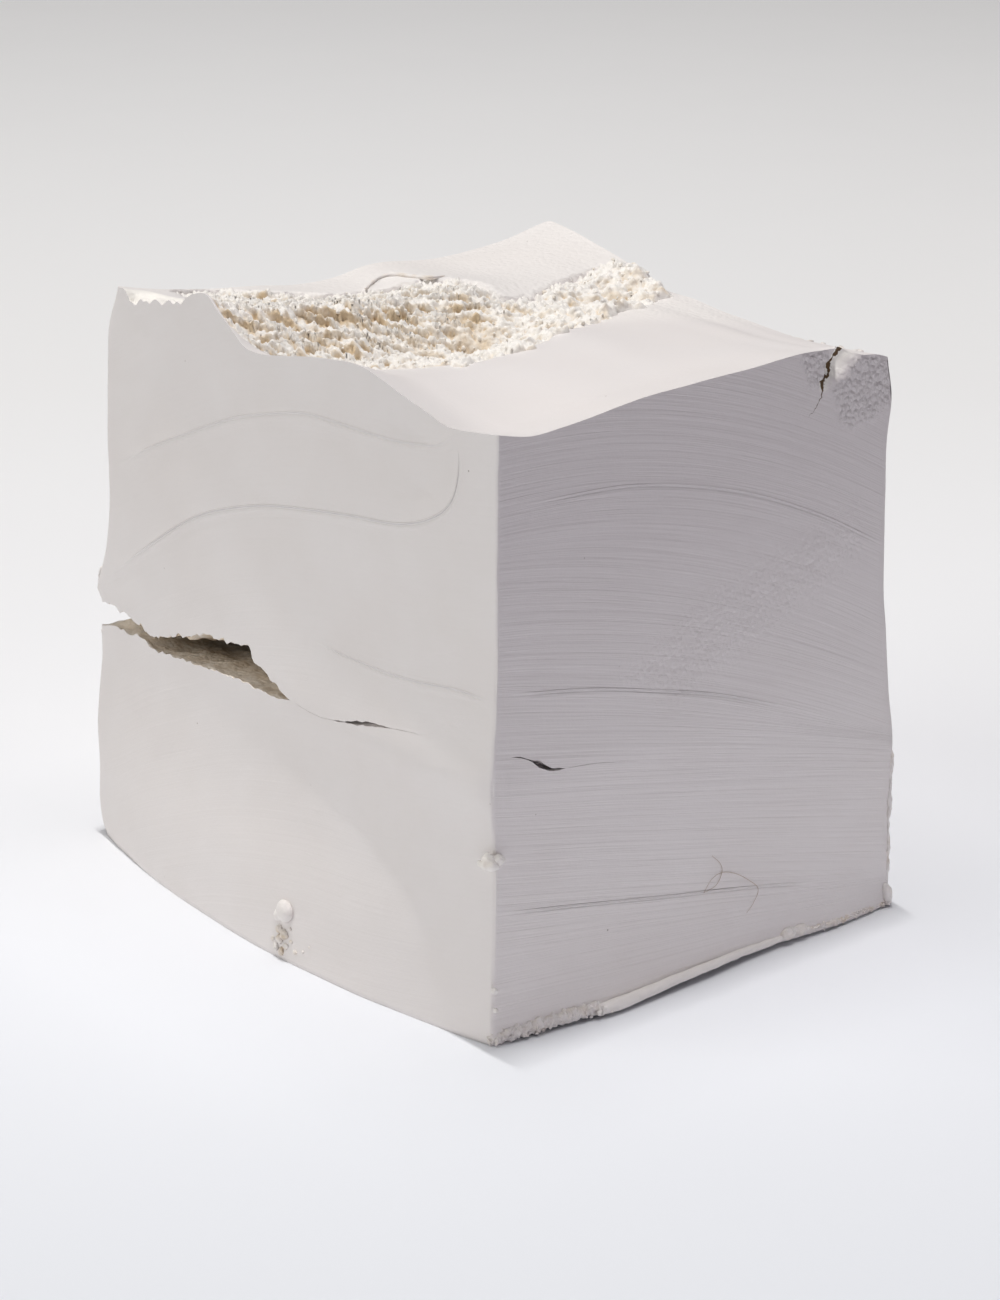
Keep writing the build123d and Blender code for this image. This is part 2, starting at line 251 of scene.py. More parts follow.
def cuts(length, step):
    """Places between 0 and 1 that cut a length, closer together where step(distance) is small."""
    at = np.linspace(0, length, 2000)
    middles = (at[1:] + at[:-1]) / 2
    count = np.concatenate(([0], np.cumsum(np.diff(at) / step(middles))))
    wanted = np.linspace(0, count[-1], round(count[-1]) + 1)
    return np.interp(wanted, count, at) / length


def outline_distance(x, y, outline):
    """Distance from (x, y) to a closed outline: positive inside it."""
    inside = np.zeros(len(x), bool)
    nearest = np.full(len(x), 1e9)
    corners = np.array(outline)
    for start, end in zip(corners, np.roll(corners, -1, axis=0)):
        run = end - start
        share = np.clip(((x - start[0]) * run[0] + (y - start[1]) * run[1]) / (run @ run), 0, 1)
        nearest = np.minimum(nearest, np.hypot(x - start[0] - share * run[0], y - start[1] - share * run[1]))
        crosses = (start[1] > y) != (end[1] > y)
        rise = np.where(crosses, (y - start[1]) / (run[1] if run[1] else 1), 0)
        inside ^= crosses & (x < start[0] + rise * run[0])
    return np.where(inside, nearest, -nearest)


def path_distance(x, y, path):
    """Signed distance from (x, y) to a smooth path, and the share of the path passed there."""
    dense = spline_points(path, 12)
    nearest = np.full(len(x), 1e9)
    share = np.zeros(len(x))
    side = np.zeros(len(x))
    for i, (start, end) in enumerate(zip(dense[:-1], dense[1:])):
        run = end - start
        t = np.clip(((x - start[0]) * run[0] + (y - start[1]) * run[1]) / (run @ run), 0, 1)
        dx = x - start[0] - t * run[0]
        dy = y - start[1] - t * run[1]
        distance = np.hypot(dx, dy)
        closer = distance < nearest
        nearest = np.where(closer, distance, nearest)
        share = np.where(closer, (i + t) / (len(dense) - 1), share)
        side = np.where(closer, np.sign(run[0] * dy - run[1] * dx), side)
    return nearest * side, share


def spline_points(points, steps):
    """Points along a Catmull-Rom spline through the given points."""
    p = np.array(points, float)
    p = np.vstack([2 * p[0] - p[1], p, 2 * p[-1] - p[-2]])
    t = (np.arange(steps) / steps)[:, None]
    pieces = []
    for a, b, c, d in zip(p[:-3], p[1:-2], p[2:-1], p[3:]):
        pieces.append(0.5 * (2 * b + (c - a) * t + (2 * a - 5 * b + 4 * c - d) * t ** 2
                             + (3 * b - a - 3 * c + d) * t ** 3))
    return np.vstack(pieces + [p[-2:-1]])


# ---- the block's outside ----
def edge(x_points, y_points):
    """The place in plan of an upright edge, as a function of height."""
    x_line = smooth_line(x_points)
    y_line = smooth_line(y_points)
    return lambda z: (x_line(z), y_line(z))


front_left = edge(FRONT_LEFT_X, FRONT_LEFT_Y)
front_right = edge(FRONT_RIGHT_X, FRONT_RIGHT_Y)
back_right = edge(BACK_RIGHT_X, BACK_RIGHT_Y)
back_left = edge(BACK_LEFT_X, BACK_LEFT_Y)
front_bow = smooth_line(FRONT_BOW)
back_bow = smooth_line(BACK_BOW)
left_bow = smooth_line(LEFT_BOW)
right_flare = smooth_line(RIGHT_FLARE)


def plan(u, v, z):
    """Place in plan, at height z, of the point with shares u from left to right and v from front to back."""
    ax, ay = front_left(z)
    bx, by = front_right(z)
    cx, cy = back_right(z)
    dx, dy = back_left(z)
    x = mix(mix(ax, bx, u), mix(dx, cx, u), v)
    y = mix(mix(ay, by, u), mix(dy, cy, u), v)
    x = x - (1 - u) * left_bow(z) * 4 * v * (1 - v)
    y = y + (v * back_bow(z) - (1 - v) * front_bow(z)) * 4 * u * (1 - u)
    x = x + u ** 6 * right_flare(y) * np.exp(-np.clip(z, 0, None) / FLARE_HEIGHT)
    return x, y


def shares(x, y, z):
    """The shares u and v of a place in plan at height z."""
    u = np.full(len(x), 0.5)
    v = np.full(len(x), 0.5)
    for _ in range(8):
        px, py = plan(u, v, z)
        u = np.clip(u + (x - px) / WIDTH, -0.1, 1.1)
        v = np.clip(v + (y - py) / DEPTH, -0.1, 1.1)
    return u, v


def rim_gap(u, v):
    """Distance in from the nearest side."""
    return np.minimum(np.minimum(u, 1 - u) * WIDTH, np.minimum(v, 1 - v) * DEPTH)


def blend_sides(u, v, z, front, right, back, left):
    """A height between the heights front(x), right(y), back(x) and left(y) along the four sides."""
    zero = np.zeros(len(u))
    one = zero + 1
    value = (1 - v) * front(plan(u, zero, z)[0]) + v * back(plan(u, one, z)[0])
    value = value + (1 - u) * left(plan(zero, v, z)[1]) + u * right(plan(one, v, z)[1])
    for side_u, share_u in ((zero, 1 - u), (one, u)):
        value = value - share_u * (1 - v) * front(plan(side_u, zero, z)[0])
        value = value - share_u * v * back(plan(side_u, one, z)[0])
    return value


front_rim = smooth_line(FRONT_RIM)
back_rim = smooth_line(BACK_RIM)
left_rim = smooth_line(LEFT_RIM)
right_rim = smooth_line(RIGHT_RIM)
rim_chips = smooth_line(RIM_CHIPS)
foot_lift = smooth_line(FOOT_LIFT)


def smooth_top(u, v):
    """Height of the wire-cut top."""
    z = np.full(len(u), TOP_LEVEL)
    height = blend_sides(u, v, z, front_rim, right_rim, back_rim, left_rim)
    x, y = plan(u, v, z)
    scoop = np.exp(-((x - 6) / 17) ** 2 - ((y + 13) / 9) ** 2)
    return height - 1.1 * scoop * smoothstep(0, 0.12, v)


def torn_share(x, y):
    """Distance inside the torn bed's ragged outline."""
    flat = flat_points(x, y)
    wobble = 0.9 * noise(flat, 3.0, 4) + 0.5 * noise(flat, 1.1, 5)
    return outline_distance(x, y, TORN_OUTLINE) + wobble


def back_share(x, y):
    """1 on the part of the top behind the torn bed, 0 towards the viewer."""
    return smoothstep(4.0, 11.0, -x * TOWARDS[0] - y * TOWARDS[1])


seam_front_upper = straight_line(SEAM_FRONT_UPPER + SEAM_FRONT_CLOSED[1:])
seam_front_lower = straight_line(SEAM_FRONT_LOWER + SEAM_FRONT_CLOSED[1:])
seam_right = smooth_line(SEAM_RIGHT)
seam_back = smooth_line(SEAM_BACK)
seam_left = smooth_line(SEAM_LEFT)
gap_front = straight_line(GAP_FRONT)
gap_right = straight_line(GAP_RIGHT)
gap_left = smooth_line(GAP_LEFT)


def seam_sides(u, v):
    """Height of the middle of the seam, how far it is open, and how far the cleft alone is open."""
    z = np.full(len(u), SEAM_LEVEL)
    x, y = plan(u, v, z)
    from_front = y - plan(u, 0 * v, z)[1]
    from_left = x - plan(0 * u, v, z)[0]
    from_right = plan(0 * u + 1, v, z)[0] - x

    def front_middle(at):
        return (seam_front_upper(at) + seam_front_lower(at)) / 2

    middle = blend_sides(u, v, z, front_middle, seam_right, seam_back, seam_left)
    lip_gap = seam_front_upper(x) - seam_front_lower(x)
    lip_gap = lip_gap * (1 - smoothstep(0.2, CLEFT_REACH, from_front))
    left_gap = gap_left(y) * (1 - smoothstep(0.2, CLEFT_REACH, from_left))
    wide = np.maximum(lip_gap, left_gap)
    front_gap = gap_front(x) * (x > 3.5) * (1 - smoothstep(0, CRACK_REACH, from_front))
    right_gap = gap_right(y) * (1 - smoothstep(0, CRACK_REACH, from_right))
    ragged = 1 + 0.9 * noise(flat_points(x, y), 0.9, 10)
    return middle, np.maximum(wide, ragged * np.maximum(front_gap, right_gap)), wide


def seam_surface(u, v, side):
    """Height of the torn seam surface of the upper (side 1) or the lower (side -1) lump."""
    middle, gap, wide = seam_sides(u, v)
    x, y = plan(u, v, np.full(len(u), SEAM_LEVEL))
    place = np.column_stack([x, y, 0 * x + 9 * side])
    torn = np.clip(wide / 1.2, 0, 1) * (1.0 if side > 0 else 0.7)
    rough = 0.26 * noise(place, 1.1, 7)
    rough = rough + 0.3 * noise(place, 0.6, 8) * (v < 0.004) + 0.3 * noise(place, 3.5, 9) * (v > 0.01)
    ledge = 1.1 * np.exp(-((x + 27.3) / 2.2) ** 2 - ((y + 21.4) / 1.3) ** 2) * (side < 0)
    return middle + side * gap / 2 + rough * torn + ledge


def box_lattice(us, vs, ws):
    """Share triples and square faces of the skin of a box cut at us, vs and ws."""
    cut = (us, vs, ws)
    quads = []
    for axis in range(3):
        a, b = [n for n in range(3) if n != axis]
        i, j = np.meshgrid(np.arange(len(cut[a]) - 1), np.arange(len(cut[b]) - 1), indexing="ij")
        for end in (0, len(cut[axis]) - 1):
            corners = np.zeros((i.size, 4, 3), int)
            for n, (di, dj) in enumerate(((0, 0), (1, 0), (1, 1), (0, 1))):
                corners[:, n, a] = (i + di).ravel()
                corners[:, n, b] = (j + dj).ravel()
            corners[:, :, axis] = end
            quads.append(corners[:, ::-1] if (end == 0) != (axis == 1) else corners)
    keys, index = np.unique(np.concatenate(quads).reshape(-1, 3), axis=0, return_inverse=True)
    places = np.column_stack([cut[axis][keys[:, axis]] for axis in range(3)])
    return places, index.reshape(-1, 4)


# ---- marks on the faces ----
# Each mark: its path over the face, its half width and its height, where a negative one cuts in.
FRONT_MARKS = [
    ([(-28.6, 36.6), (-21, 40.7), (-13.3, 44), (-7.2, 46.4), (-1.2, 48.1), (4.5, 49.3), (11, 49.5),
      (17.2, 49.7), (22.7, 50.6), (25.6, 52.4)], 0.4, 0.13),
    ([(-28.3, 35.3), (-21, 39.3), (-13.3, 42.7), (-7.2, 45.2), (-1.2, 47), (5.6, 47.6),
      (12.5, 48.5)], 0.5, -0.11),
    ([(-28.3, 45.6), (-22.1, 48.5), (-15.7, 51.5), (-10.7, 53.3)], 0.5, 0.08),
    ([(1.3, 47.8), (5.6, 48.6), (8.9, 49.1), (14.1, 49)], 0.3, 0.08),
    ([(-29.8, 25.6), (-21.4, 31.2), (-13, 36.1), (-4.9, 38.9), (1.3, 40.3), (10, 41.7), (17.5, 42.7),
      (22.4, 44.4), (25, 46.5), (25.8, 49.4), (25.4, 51.7)], 0.38, 0.17),
    ([(-29.3, 24.7), (-21.4, 30.2), (-13, 35.1), (-4.9, 38), (1.3, 39.5), (9.5, 40.8), (16.3, 41.6),
      (21, 42.7)], 0.45, -0.12),
    ([(16, 45), (19.4, 45.7), (20.9, 47), (21.3, 48.2), (21, 49.4)], 0.35, -0.13),
    ([(15.1, 51), (15.9, 51.6), (16.1, 52.9), (15.2, 54)], 0.35, 0.05),
    ([(4.6, 29.3), (13.3, 29.3), (19.6, 29.6), (25.7, 30.4), (29.9, 30.5)], 0.32, 0.15),
    ([(4.6, 28.6), (13.3, 28.7), (20.7, 29), (26.3, 29.6), (29.9, 29.8)], 0.35, -0.13),
    ([(4.3, 29.3), (4.7, 28.6), (4.6, 27.8)], 0.3, -0.3),
    ([(5.4, 15.7), (10.2, 17.7), (14.5, 20.1), (18.3, 21.6), (21.8, 22.3), (25.9, 23.6),
      (30.8, 25)], 0.5, 0.09),
    ([(-20, 13.2), (-10, 13.8), (2, 15), (5.4, 15.7)], 0.7, 0.05),
    ([(28.9, 52.8), (28.8, 51.8), (28.7, 50.6)], 0.3, -0.25),
    ([(28.2, 48.1), (28, 47.4)], 0.3, -0.2),
]
RIGHT_MARKS = [
    ([(-23.2, 12), (-15.3, 10.6), (-8, 9.2), (-0.4, 7.8), (7.8, 6.3), (15.4, 4.7)], 0.32, 0.16),
    ([(-23.2, 11.4), (-15.3, 10), (-8, 8.6), (-0.4, 7.2), (7.8, 5.7), (15.4, 4.1)], 0.32, -0.15),
    ([(-22.1, 31.1), (-15.3, 30), (-10.9, 29.1), (-5.4, 27.7), (2.4, 25.5), (12, 22)], 0.35, 0.14),
    ([(-22.1, 32.8), (-17.1, 32), (-10, 30.5), (-4.5, 29.3), (1.1, 27.9), (12, 24.6)], 0.35, -0.12),
    ([(-22.1, 36.7), (-13.6, 35.4), (-8.2, 34.4), (0, 32.4)], 0.35, 0.08),
    ([(-21.9, 47), (-8, 46.2), (4, 43.4), (14, 39.4), (23, 34.6)], 0.4, 0.1),
    ([(-21.9, 44.4), (-8, 43.4), (4, 40.6), (14, 36.6), (23, 31.4)], 0.35, 0.08),
    ([(-21.9, 49.6), (-8, 49), (4, 46.2), (14, 42.6), (23, 37.6)], 0.35, -0.07),
    ([(-21.6, 15.6), (-18.8, 13.9), (-16, 12.3), (-11.7, 10.3)], 0.4, 0.06),
]
# Pitted spots on the front face: middle, radii and depth.
FRONT_PITS = [
    ((18.9, 51), (3.2, 1.2), 0.16), ((20.6, 46.4), (1.6, 0.9), 0.14), ((-22.5, 51.8), (1.6, 1.2), 0.12),
]
RIGHT_PATCH = [
    (-9.3, 29.5), (-0.1, 34.5), (11.8, 37.4), (19.1, 39.6), (19.3, 34.1), (7.1, 29.3), (-2.3, 26.1),
]
CHUNK_PATCH = [
    (18.6, 52.3), (16.8, 51.2), (15.6, 49.9), (16.5, 47), (18.2, 46.2), (21.7, 46.9), (23.9, 48.4),
    (23.6, 51.4), (20.8, 52.3),
]
# The crack of the corner chunk down the right face: y and half width at each height.
CRACK_SIDE = [
    (48, 12.3), (48.7, 13.2), (49.3, 13.9), (50.3, 14.3), (50.9, 14.6), (51.5, 15.6), (52.3, 16),
    (53, 16.9), (54.5, 18.4),
]
CRACK_HALF = [
    (48, -0.05), (48.5, 0.04), (50.2, 0.05), (50.7, 0.16), (51.1, 0.22), (51.5, 0.1), (51.9, 0.18),
    (52.3, 0.26), (52.8, 0.05), (53.1, 0.2), (54.5, 0.15),
]
# The pale facet beside it: how wide it is at each height.
FACET_WIDTH = [(49, 0.2), (50, 0.4), (50.6, 0.6), (51.7, 1.5), (53, 2.2), (54.5, 2.4)]
FACET_FOOT = 50.2
FACET_SLOPE = 0.5
# The pitted patch on the other side of the crack.
BESIDE_CRACK = [(11.8, 53.6), (14.6, 53.6), (15.3, 52), (14.6, 50.6), (12.6, 50.9)]
CRACK_HEIGHTS = np.linspace(48, 54.5, 40)
# Share of a mark's height that goes into the shape.
MARK_DEPTH = 0.45
# Only marks that stand out this much also get a scored line in the material.
SCORED_FROM = 0.1

# The wire's strokes: the rise of one across the front face, and for one that starts at each height of the
# front edge, how far it drops towards the back of the right face, and how much it bends on the way.
FRONT_ARC = [
    (-31, -13.5), (-27.6, -12.1), (-21, -8.6), (-13.3, -5.3), (-7.2, -2.9), (-1.2, -1.2), (4.5, 0),
    (17, 1.2), (25, 2.4), (31, 3.4),
]
RIGHT_DROP = [(0, 1), (4, 3), (12, 8.5), (28, 9), (31, 9), (36, 6.5), (41.5, 6), (46, 0), (49, 0)]
RIGHT_BEND = [(0, 0), (12, 1), (28, 3), (31, 6), (36, 8.3), (41.5, 10), (46, 12.6), (49, 12.6)]

crack_side = straight_line(CRACK_SIDE)
crack_half = straight_line(CRACK_HALF)
facet_width = straight_line(FACET_WIDTH)
front_arc = smooth_line(FRONT_ARC)
right_drop = smooth_line(RIGHT_DROP)
right_bend = smooth_line(RIGHT_BEND)


def close_to(a, b, path, reach):
    """Which face positions are near a path, with their signed distance to it and the share of it passed."""
    corners = np.array(path)
    low = corners.min(axis=0) - reach
    high = corners.max(axis=0) + reach
    near = np.flatnonzero((a > low[0]) & (a < high[0]) & (b > low[1]) & (b < high[1]))
    distance, share = path_distance(a[near], b[near], path)
    return near, distance, share


def marks(a, b, paths):
    """Height of the ridges and grooves at the face position (a, b)."""
    height = np.zeros(len(a))
    for path, half_width, rise in paths:
        near, distance, share = close_to(a, b, path, 4 * half_width)
        ends = smoothstep(0, 0.07, share) * (1 - smoothstep(0.93, 1, share))
        ends *= 0.8 + 0.35 * noise(flat_points(60 * share, 0 * share), 6.0, 3)
        height[near] += MARK_DEPTH * rise * ends * np.exp(-(distance / half_width) ** 2)
    return height


def nearest_line(a, b, paths):
    """Signed distance to the nearest mark's path, and how much that mark stands out there."""
    nearest = np.full(len(a), 3.0)
    rise = np.zeros(len(a))
    for path, _, height in paths:
        if height < SCORED_FROM:
            continue
        near, distance, share = close_to(a, b, path, 1.5)
        closer = np.abs(distance) < np.abs(nearest[near])
        fade = smoothstep(0, 0.15, share) * (1 - smoothstep(0.85, 1, share))
        fade *= 1 - smoothstep(0.75, 1.1, np.abs(distance))
        nearest[near] = np.where(closer, distance, nearest[near])
        rise[near] = np.where(closer, fade * height / 0.15, rise[near])
    return nearest, rise


def patch(a, b, outline, fade):
    """1 inside the outline, fading to 0 around its edge."""
    return smoothstep(-fade / 2, fade / 2, outline_distance(a, b, outline))


def pitted(y, z):
    """1 on the two pitted patches beside the crack, 0 off them."""
    return patch(y, z, CHUNK_PATCH, 1.0) + patch(y, z, BESIDE_CRACK, 0.7)


def front_relief(x, z):
    """How far the front face stands out at (x, z)."""
    flat = flat_points(x, z)
    height = 0.16 * noise(flat, 13.0, 1) + 0.035 * noise(flat, 3.0, 2) + marks(x, z, FRONT_MARKS)
    for (cx, cz), (rx, rz), depth in FRONT_PITS:
        inside = np.exp(-((x - cx) / rx) ** 2 - ((z - cz) / rz) ** 2)
        height -= depth * inside * (1 + noise(flat, 0.9, 6))
    return height


def right_relief(y, z):
    """How far the right face stands out at (y, z)."""
    flat = flat_points(y, z)
    height = 0.14 * noise(flat, 12.0, 11) + 0.03 * noise(flat, 2.6, 12) + marks(y, z, RIGHT_MARKS)
    height += 0.07 * patch(y, z, RIGHT_PATCH, 3.0) * noise(flat, 0.9, 13)
    height += pitted(y, z) * (0.13 * noise(flat, 0.8, 14) - 0.1)
    return height


def facet_share(y, z):
    """1 on the pale broken facet beside the crack, 0 off it."""
    beside = (y - crack_side(z)) / facet_width(z)
    return smoothstep(-0.75, -0.5, beside) * (1 - smoothstep(0.7, 1.15, beside))


def facet_depth(y, z):
    """How far the broken facet lies behind the right face."""
    return FACET_SLOPE * np.clip(z - FACET_FOOT, 0, 2) * facet_share(y, z)


def drag(points):
    """Position across the strokes left by the cutting wire, on the front face and on the right face."""
    x, y, z = points.T
    along = (y + 21.9) / 45.2
    start = z.copy()
    for _ in range(12):
        start = 0.5 * start + 0.5 * (z + right_drop(start) * along + right_bend(start) * along ** 2)
    return z - front_arc(x), start


# ---- meshes ----
def make_piece(name, points, faces, material, slot, nodes=(), sharp_points=None, **values):
    """A mesh piece from points in millimetres, on the block's one body, sharp between the sharp points."""
    mesh = bpy.data.meshes.new(name)
    mesh.from_pydata(points * MM, [], faces.tolist() if isinstance(faces, np.ndarray) else faces)
    mesh.polygons.foreach_set("use_smooth", np.ones(len(mesh.polygons), bool))
    for key, value in values.items():
        stored = mesh.attributes.new(key, "FLOAT", "POINT").data
        stored.foreach_set("value", np.broadcast_to(value, len(points)).astype(np.float32))
    if sharp_points is not None:
        ends = np.zeros(2 * len(mesh.edges), int)
        mesh.edges.foreach_get("vertices", ends)
        sharp = sharp_points[ends.reshape(-1, 2)].all(axis=1)
        mesh.attributes.new("sharp_edge", "BOOLEAN", "EDGE").data.foreach_set("value", sharp)
    mesh.validate()
    mesh.materials.append(material)
    piece = bpy.data.objects.new(name, mesh)
    bpy.context.scene.collection.objects.link(piece)
    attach(piece, "root")
    if nodes:
        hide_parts(*nodes)
    return piece


# ---- materials ----
def fill(tree, socket, value):
    """Links a socket to a value that is itself a socket, or sets it to that value."""
    if isinstance(value, bpy.types.NodeSocket):
        tree.links.new(value, socket)
    else:
        socket.default_value = value


def node(tree, kind, **values):
    """A shader node with its inputs and its settings filled in."""
    made = tree.nodes.new("ShaderNode" + kind)
    for key, value in values.items():
        if key.replace("_", " ") in made.inputs:
            fill(tree, made.inputs[key.replace("_", " ")], value)
        else:
            setattr(made, key, value)
    return made


def new_material(name):
    """An empty material, its node tree, and the place in the object that its textures are looked up at."""
    material = bpy.data.materials.new(name)
    material.use_nodes = True
    material.node_tree.nodes.clear()
    return material, material.node_tree, node(material.node_tree, "TexCoord").outputs["Object"]


def finish_material(tree, shader):
    """Puts the shader on the surface."""
    output = node(tree, "OutputMaterial")
    tree.links.new(shader.outputs[0], output.inputs[0])


def attribute(tree, name):
    """A value stored on the mesh's points."""
    return node(tree, "Attribute", attribute_name=name).outputs["Fac"]


def noise_texture(tree, place, scale, detail, **values):
    """Cloudy noise, 0 to 1."""
    return node(tree, "TexNoise", Vector=place, Scale=scale, Detail=detail, **values).outputs["Fac"]


def blend_colour(tree, factor, first, second):
    """first where factor is 0, second where it is 1."""
    mixed = node(tree, "Mix", data_type="RGBA")
    for number, value in ((0, factor), (6, first), (7, second)):
        fill(tree, mixed.inputs[number], value)
    return mixed.outputs[2]


def value_map(tree, value, low, high, to_low=0.0, to_high=1.0):
    """Stretches low to high over to_low to to_high, and holds the value within them."""
    mapped = node(tree, "MapRange", Value=value)
    for socket, number in zip(mapped.inputs[1:5], (low, high, to_low, to_high)):
        socket.default_value = number
    return mapped.outputs[0]


def maths(tree, operation, *values):
    """One step of arithmetic."""
    made = node(tree, "Math", operation=operation)
    for socket, value in zip(made.inputs, values):
        fill(tree, socket, value)
    return made.outputs[0]


def add(tree, first, second):
    return maths(tree, "ADD", first, second)


def times(tree, first, second):
    return maths(tree, "MULTIPLY", first, second)


def stroke_height(tree, across_name, along):
    """Long fine strokes: noise stretched along them."""
    across = attribute(tree, across_name)
    place = node(tree, "CombineXYZ", X=times(tree, along, 14.0), Y=across).outputs[0]
    coarse = noise_texture(tree, place, 1.9, 3.0, Roughness=0.6)
    fine = noise_texture(tree, place, 7.0, 1.0)
    return add(tree, coarse, times(tree, fine, 0.25))


def scored_line(tree, side):
    """A thin ridge with a groove beside it, along the nearest mark of that side."""
    distance = attribute(tree, side + "_line")

    def bell(offset, width):
        scaled = maths(tree, "DIVIDE", maths(tree, "SUBTRACT", distance, offset), width)
        return maths(tree, "EXPONENT", times(tree, times(tree, scaled, scaled), -1.0))

    profile = maths(tree, "SUBTRACT", bell(0.0, 0.08), times(tree, bell(-0.18, 0.09), 0.8))
    profile = add(tree, profile, times(tree, bell(-0.5, 0.07), 0.2))
    return times(tree, profile, attribute(tree, side + "_rise"))


def crack_painted_shade(tree, place):
    """Painted shade of the crack of the corner chunk: 1 inside the crack, with a ragged border."""
    ragged = noise_texture(tree, place, 2200.0, 2.0)
    offset = add(tree, attribute(tree, "crack_offset"), value_map(tree, ragged, 0.3, 0.7, -0.14, 0.14))
    inside = maths(tree, "SUBTRACT", attribute(tree, "crack_half"), maths(tree, "ABSOLUTE", offset))
    return value_map(tree, inside, -0.02, 0.02)


def pinholes(tree, place):
    """1 in a few tiny dark dots, 0 elsewhere."""
    cells = node(tree, "TexVoronoi", Vector=place, Scale=330.0)
    dots = value_map(tree, cells.outputs["Distance"], 0.022, 0.036, 1.0, 0.0)
    chance = node(tree, "SeparateColor", Color=cells.outputs["Color"]).outputs[0]
    return times(tree, dots, value_map(tree, chance, 0.84, 0.9))


CHALK = (0.80, 0.765, 0.755, 1)
CHALK_CLOUDY = (0.78, 0.74, 0.725, 1)
# Painted shade: the right face's greyer colour, stronger towards its top, stands in for that face lying in
# shade.
PAINTED_SHADE_RIGHT_FACE = (0.675, 0.63, 0.635, 1)
CHALK_PALE = (0.92, 0.89, 0.84, 1)
# Tan of torn chalk; on the torn bed and in the cleft it is painted shade.
CHALK_TAN = (0.68, 0.54, 0.37, 1)
# Painted shade in recesses: deep in the cleft and in the torn bed's pit.
PAINTED_RECESS_SHADE_COLOUR = (0.30, 0.20, 0.11, 1)
# Painted shade: the corner chunk's crack is a dark line in the colour, not an opening in the shape.
CRACK_PAINTED_SHADE = (0.10, 0.055, 0.02, 1)
PINHOLE_DARK = (0.22, 0.17, 0.13, 1)
HAIR_DARK = (0.36, 0.25, 0.17, 1)
HAIR_LIGHT = (0.55, 0.44, 0.34, 1)
# A normal that leans at least this far towards a side belongs to the face on that side.
FACES_SIDE = 0.72


def chalk_colour(tree, place, clouds, right_face_painted_shade):
    """The chalk's colour: greyer towards the top of the right face as painted shade; tan where torn, and on
    the torn bed and in the cleft that tan and a dark brown further in are painted shade; nearly white where
    freshly broken, paler on the rolled strip as painted light; the crack a painted dark line of shade.
    """
    colour = blend_colour(tree, value_map(tree, clouds, 0.35, 0.7), CHALK, CHALK_CLOUDY)
    colour = blend_colour(tree, right_face_painted_shade, colour, PAINTED_SHADE_RIGHT_FACE)
    pale = value_map(tree, attribute(tree, "pale"), 0.0, 1.0, 0.0, 0.95)
    colour = blend_colour(tree, pale, colour, CHALK_PALE)
    mottle = noise_texture(tree, place, 900.0, 3.0)
    torn = times(tree, attribute(tree, "torn"), value_map(tree, mottle, 0.3, 0.62, 0.45, 1.15))
    colour = blend_colour(tree, value_map(tree, torn, 0.05, 0.9), colour, CHALK_TAN)
    colour = blend_colour(tree, value_map(tree, attribute(tree, "deep"), 0.0, 1.0), colour, PAINTED_RECESS_SHADE_COLOUR)
    colour = blend_colour(tree, crack_painted_shade(tree, place), colour, CRACK_PAINTED_SHADE)
    return blend_colour(tree, times(tree, pinholes(tree, place), 0.65), colour, PINHOLE_DARK)


def drag_height(tree, facing, split):
    """The wire's drag lines, on the sides only and fainter on the front and the back."""
    heights = []
    for side, along, towards, strength in (("right", "Y", "X", 1.0), ("front", "X", "Y", 0.22)):
        leaning = maths(tree, "ABSOLUTE", facing.outputs[towards])
        shown = times(tree, maths(tree, "GREATER_THAN", leaning, FACES_SIDE), strength)
        strokes = stroke_height(tree, "across_" + side, split.outputs[along])
        heights.append(times(tree, strokes, shown))
    return add(tree, *heights)


def pock_height(tree, place):
    """Pits between small grains, where the mesh's rough value asks for them."""
    cells = node(tree, "TexVoronoi", Vector=place, Scale=1900.0).outputs["Distance"]
    grains = value_map(tree, cells, 0.1, 0.7, 0.6, 0.0)
    pocks = add(tree, grains, noise_texture(tree, place, 1500.0, 3.0))
    return times(tree, pocks, attribute(tree, "rough"))


def chalk_material(name, strokes, grain):
    """Moist-cut chalk, with the depth of the wire's drag lines and of the fine grain in metres."""
    material, tree, place = new_material(name)
    facing = node(tree, "SeparateXYZ", Vector=node(tree, "NewGeometry").outputs["Normal"])
    split = node(tree, "SeparateXYZ", Vector=place)
    on_right = maths(tree, "GREATER_THAN", facing.outputs["X"], FACES_SIDE)
    on_front = maths(tree, "LESS_THAN", facing.outputs["Y"], -FACES_SIDE)
    # Painted shade on the right face only, from none at 1 cm high to full at 4.5 cm.
    right_face_painted_shade = times(tree, on_right, value_map(tree, split.outputs["Z"], 0.01, 0.045))
    clouds = noise_texture(tree, place, 90.0, 4.0)
    scored_right = times(tree, scored_line(tree, "right"), times(tree, on_right, 1.25))
    scored_front = times(tree, scored_line(tree, "front"), times(tree, on_front, 0.8))
    normal = None
    for height, depth in (
        (drag_height(tree, facing, split), strokes),
        (add(tree, scored_right, scored_front), 0.00007),
        (noise_texture(tree, place, 2600.0, 3.0), grain),
        (pock_height(tree, place), 0.0003),
    ):
        bump = node(tree, "Bump", Height=height, Distance=depth)
        if normal is not None:
            tree.links.new(normal, bump.inputs["Normal"])
        normal = bump.outputs[0]
    colour = chalk_colour(tree, place, clouds, right_face_painted_shade)
    gloss = value_map(tree, clouds, 0.3, 0.7, 0.5, 0.62)
    shader = node(tree, "BsdfPrincipled", Base_Color=colour, Roughness=gloss, Normal=normal)
    shader.inputs["Specular IOR Level"].default_value = 0.35
    finish_material(tree, shader)
    return material


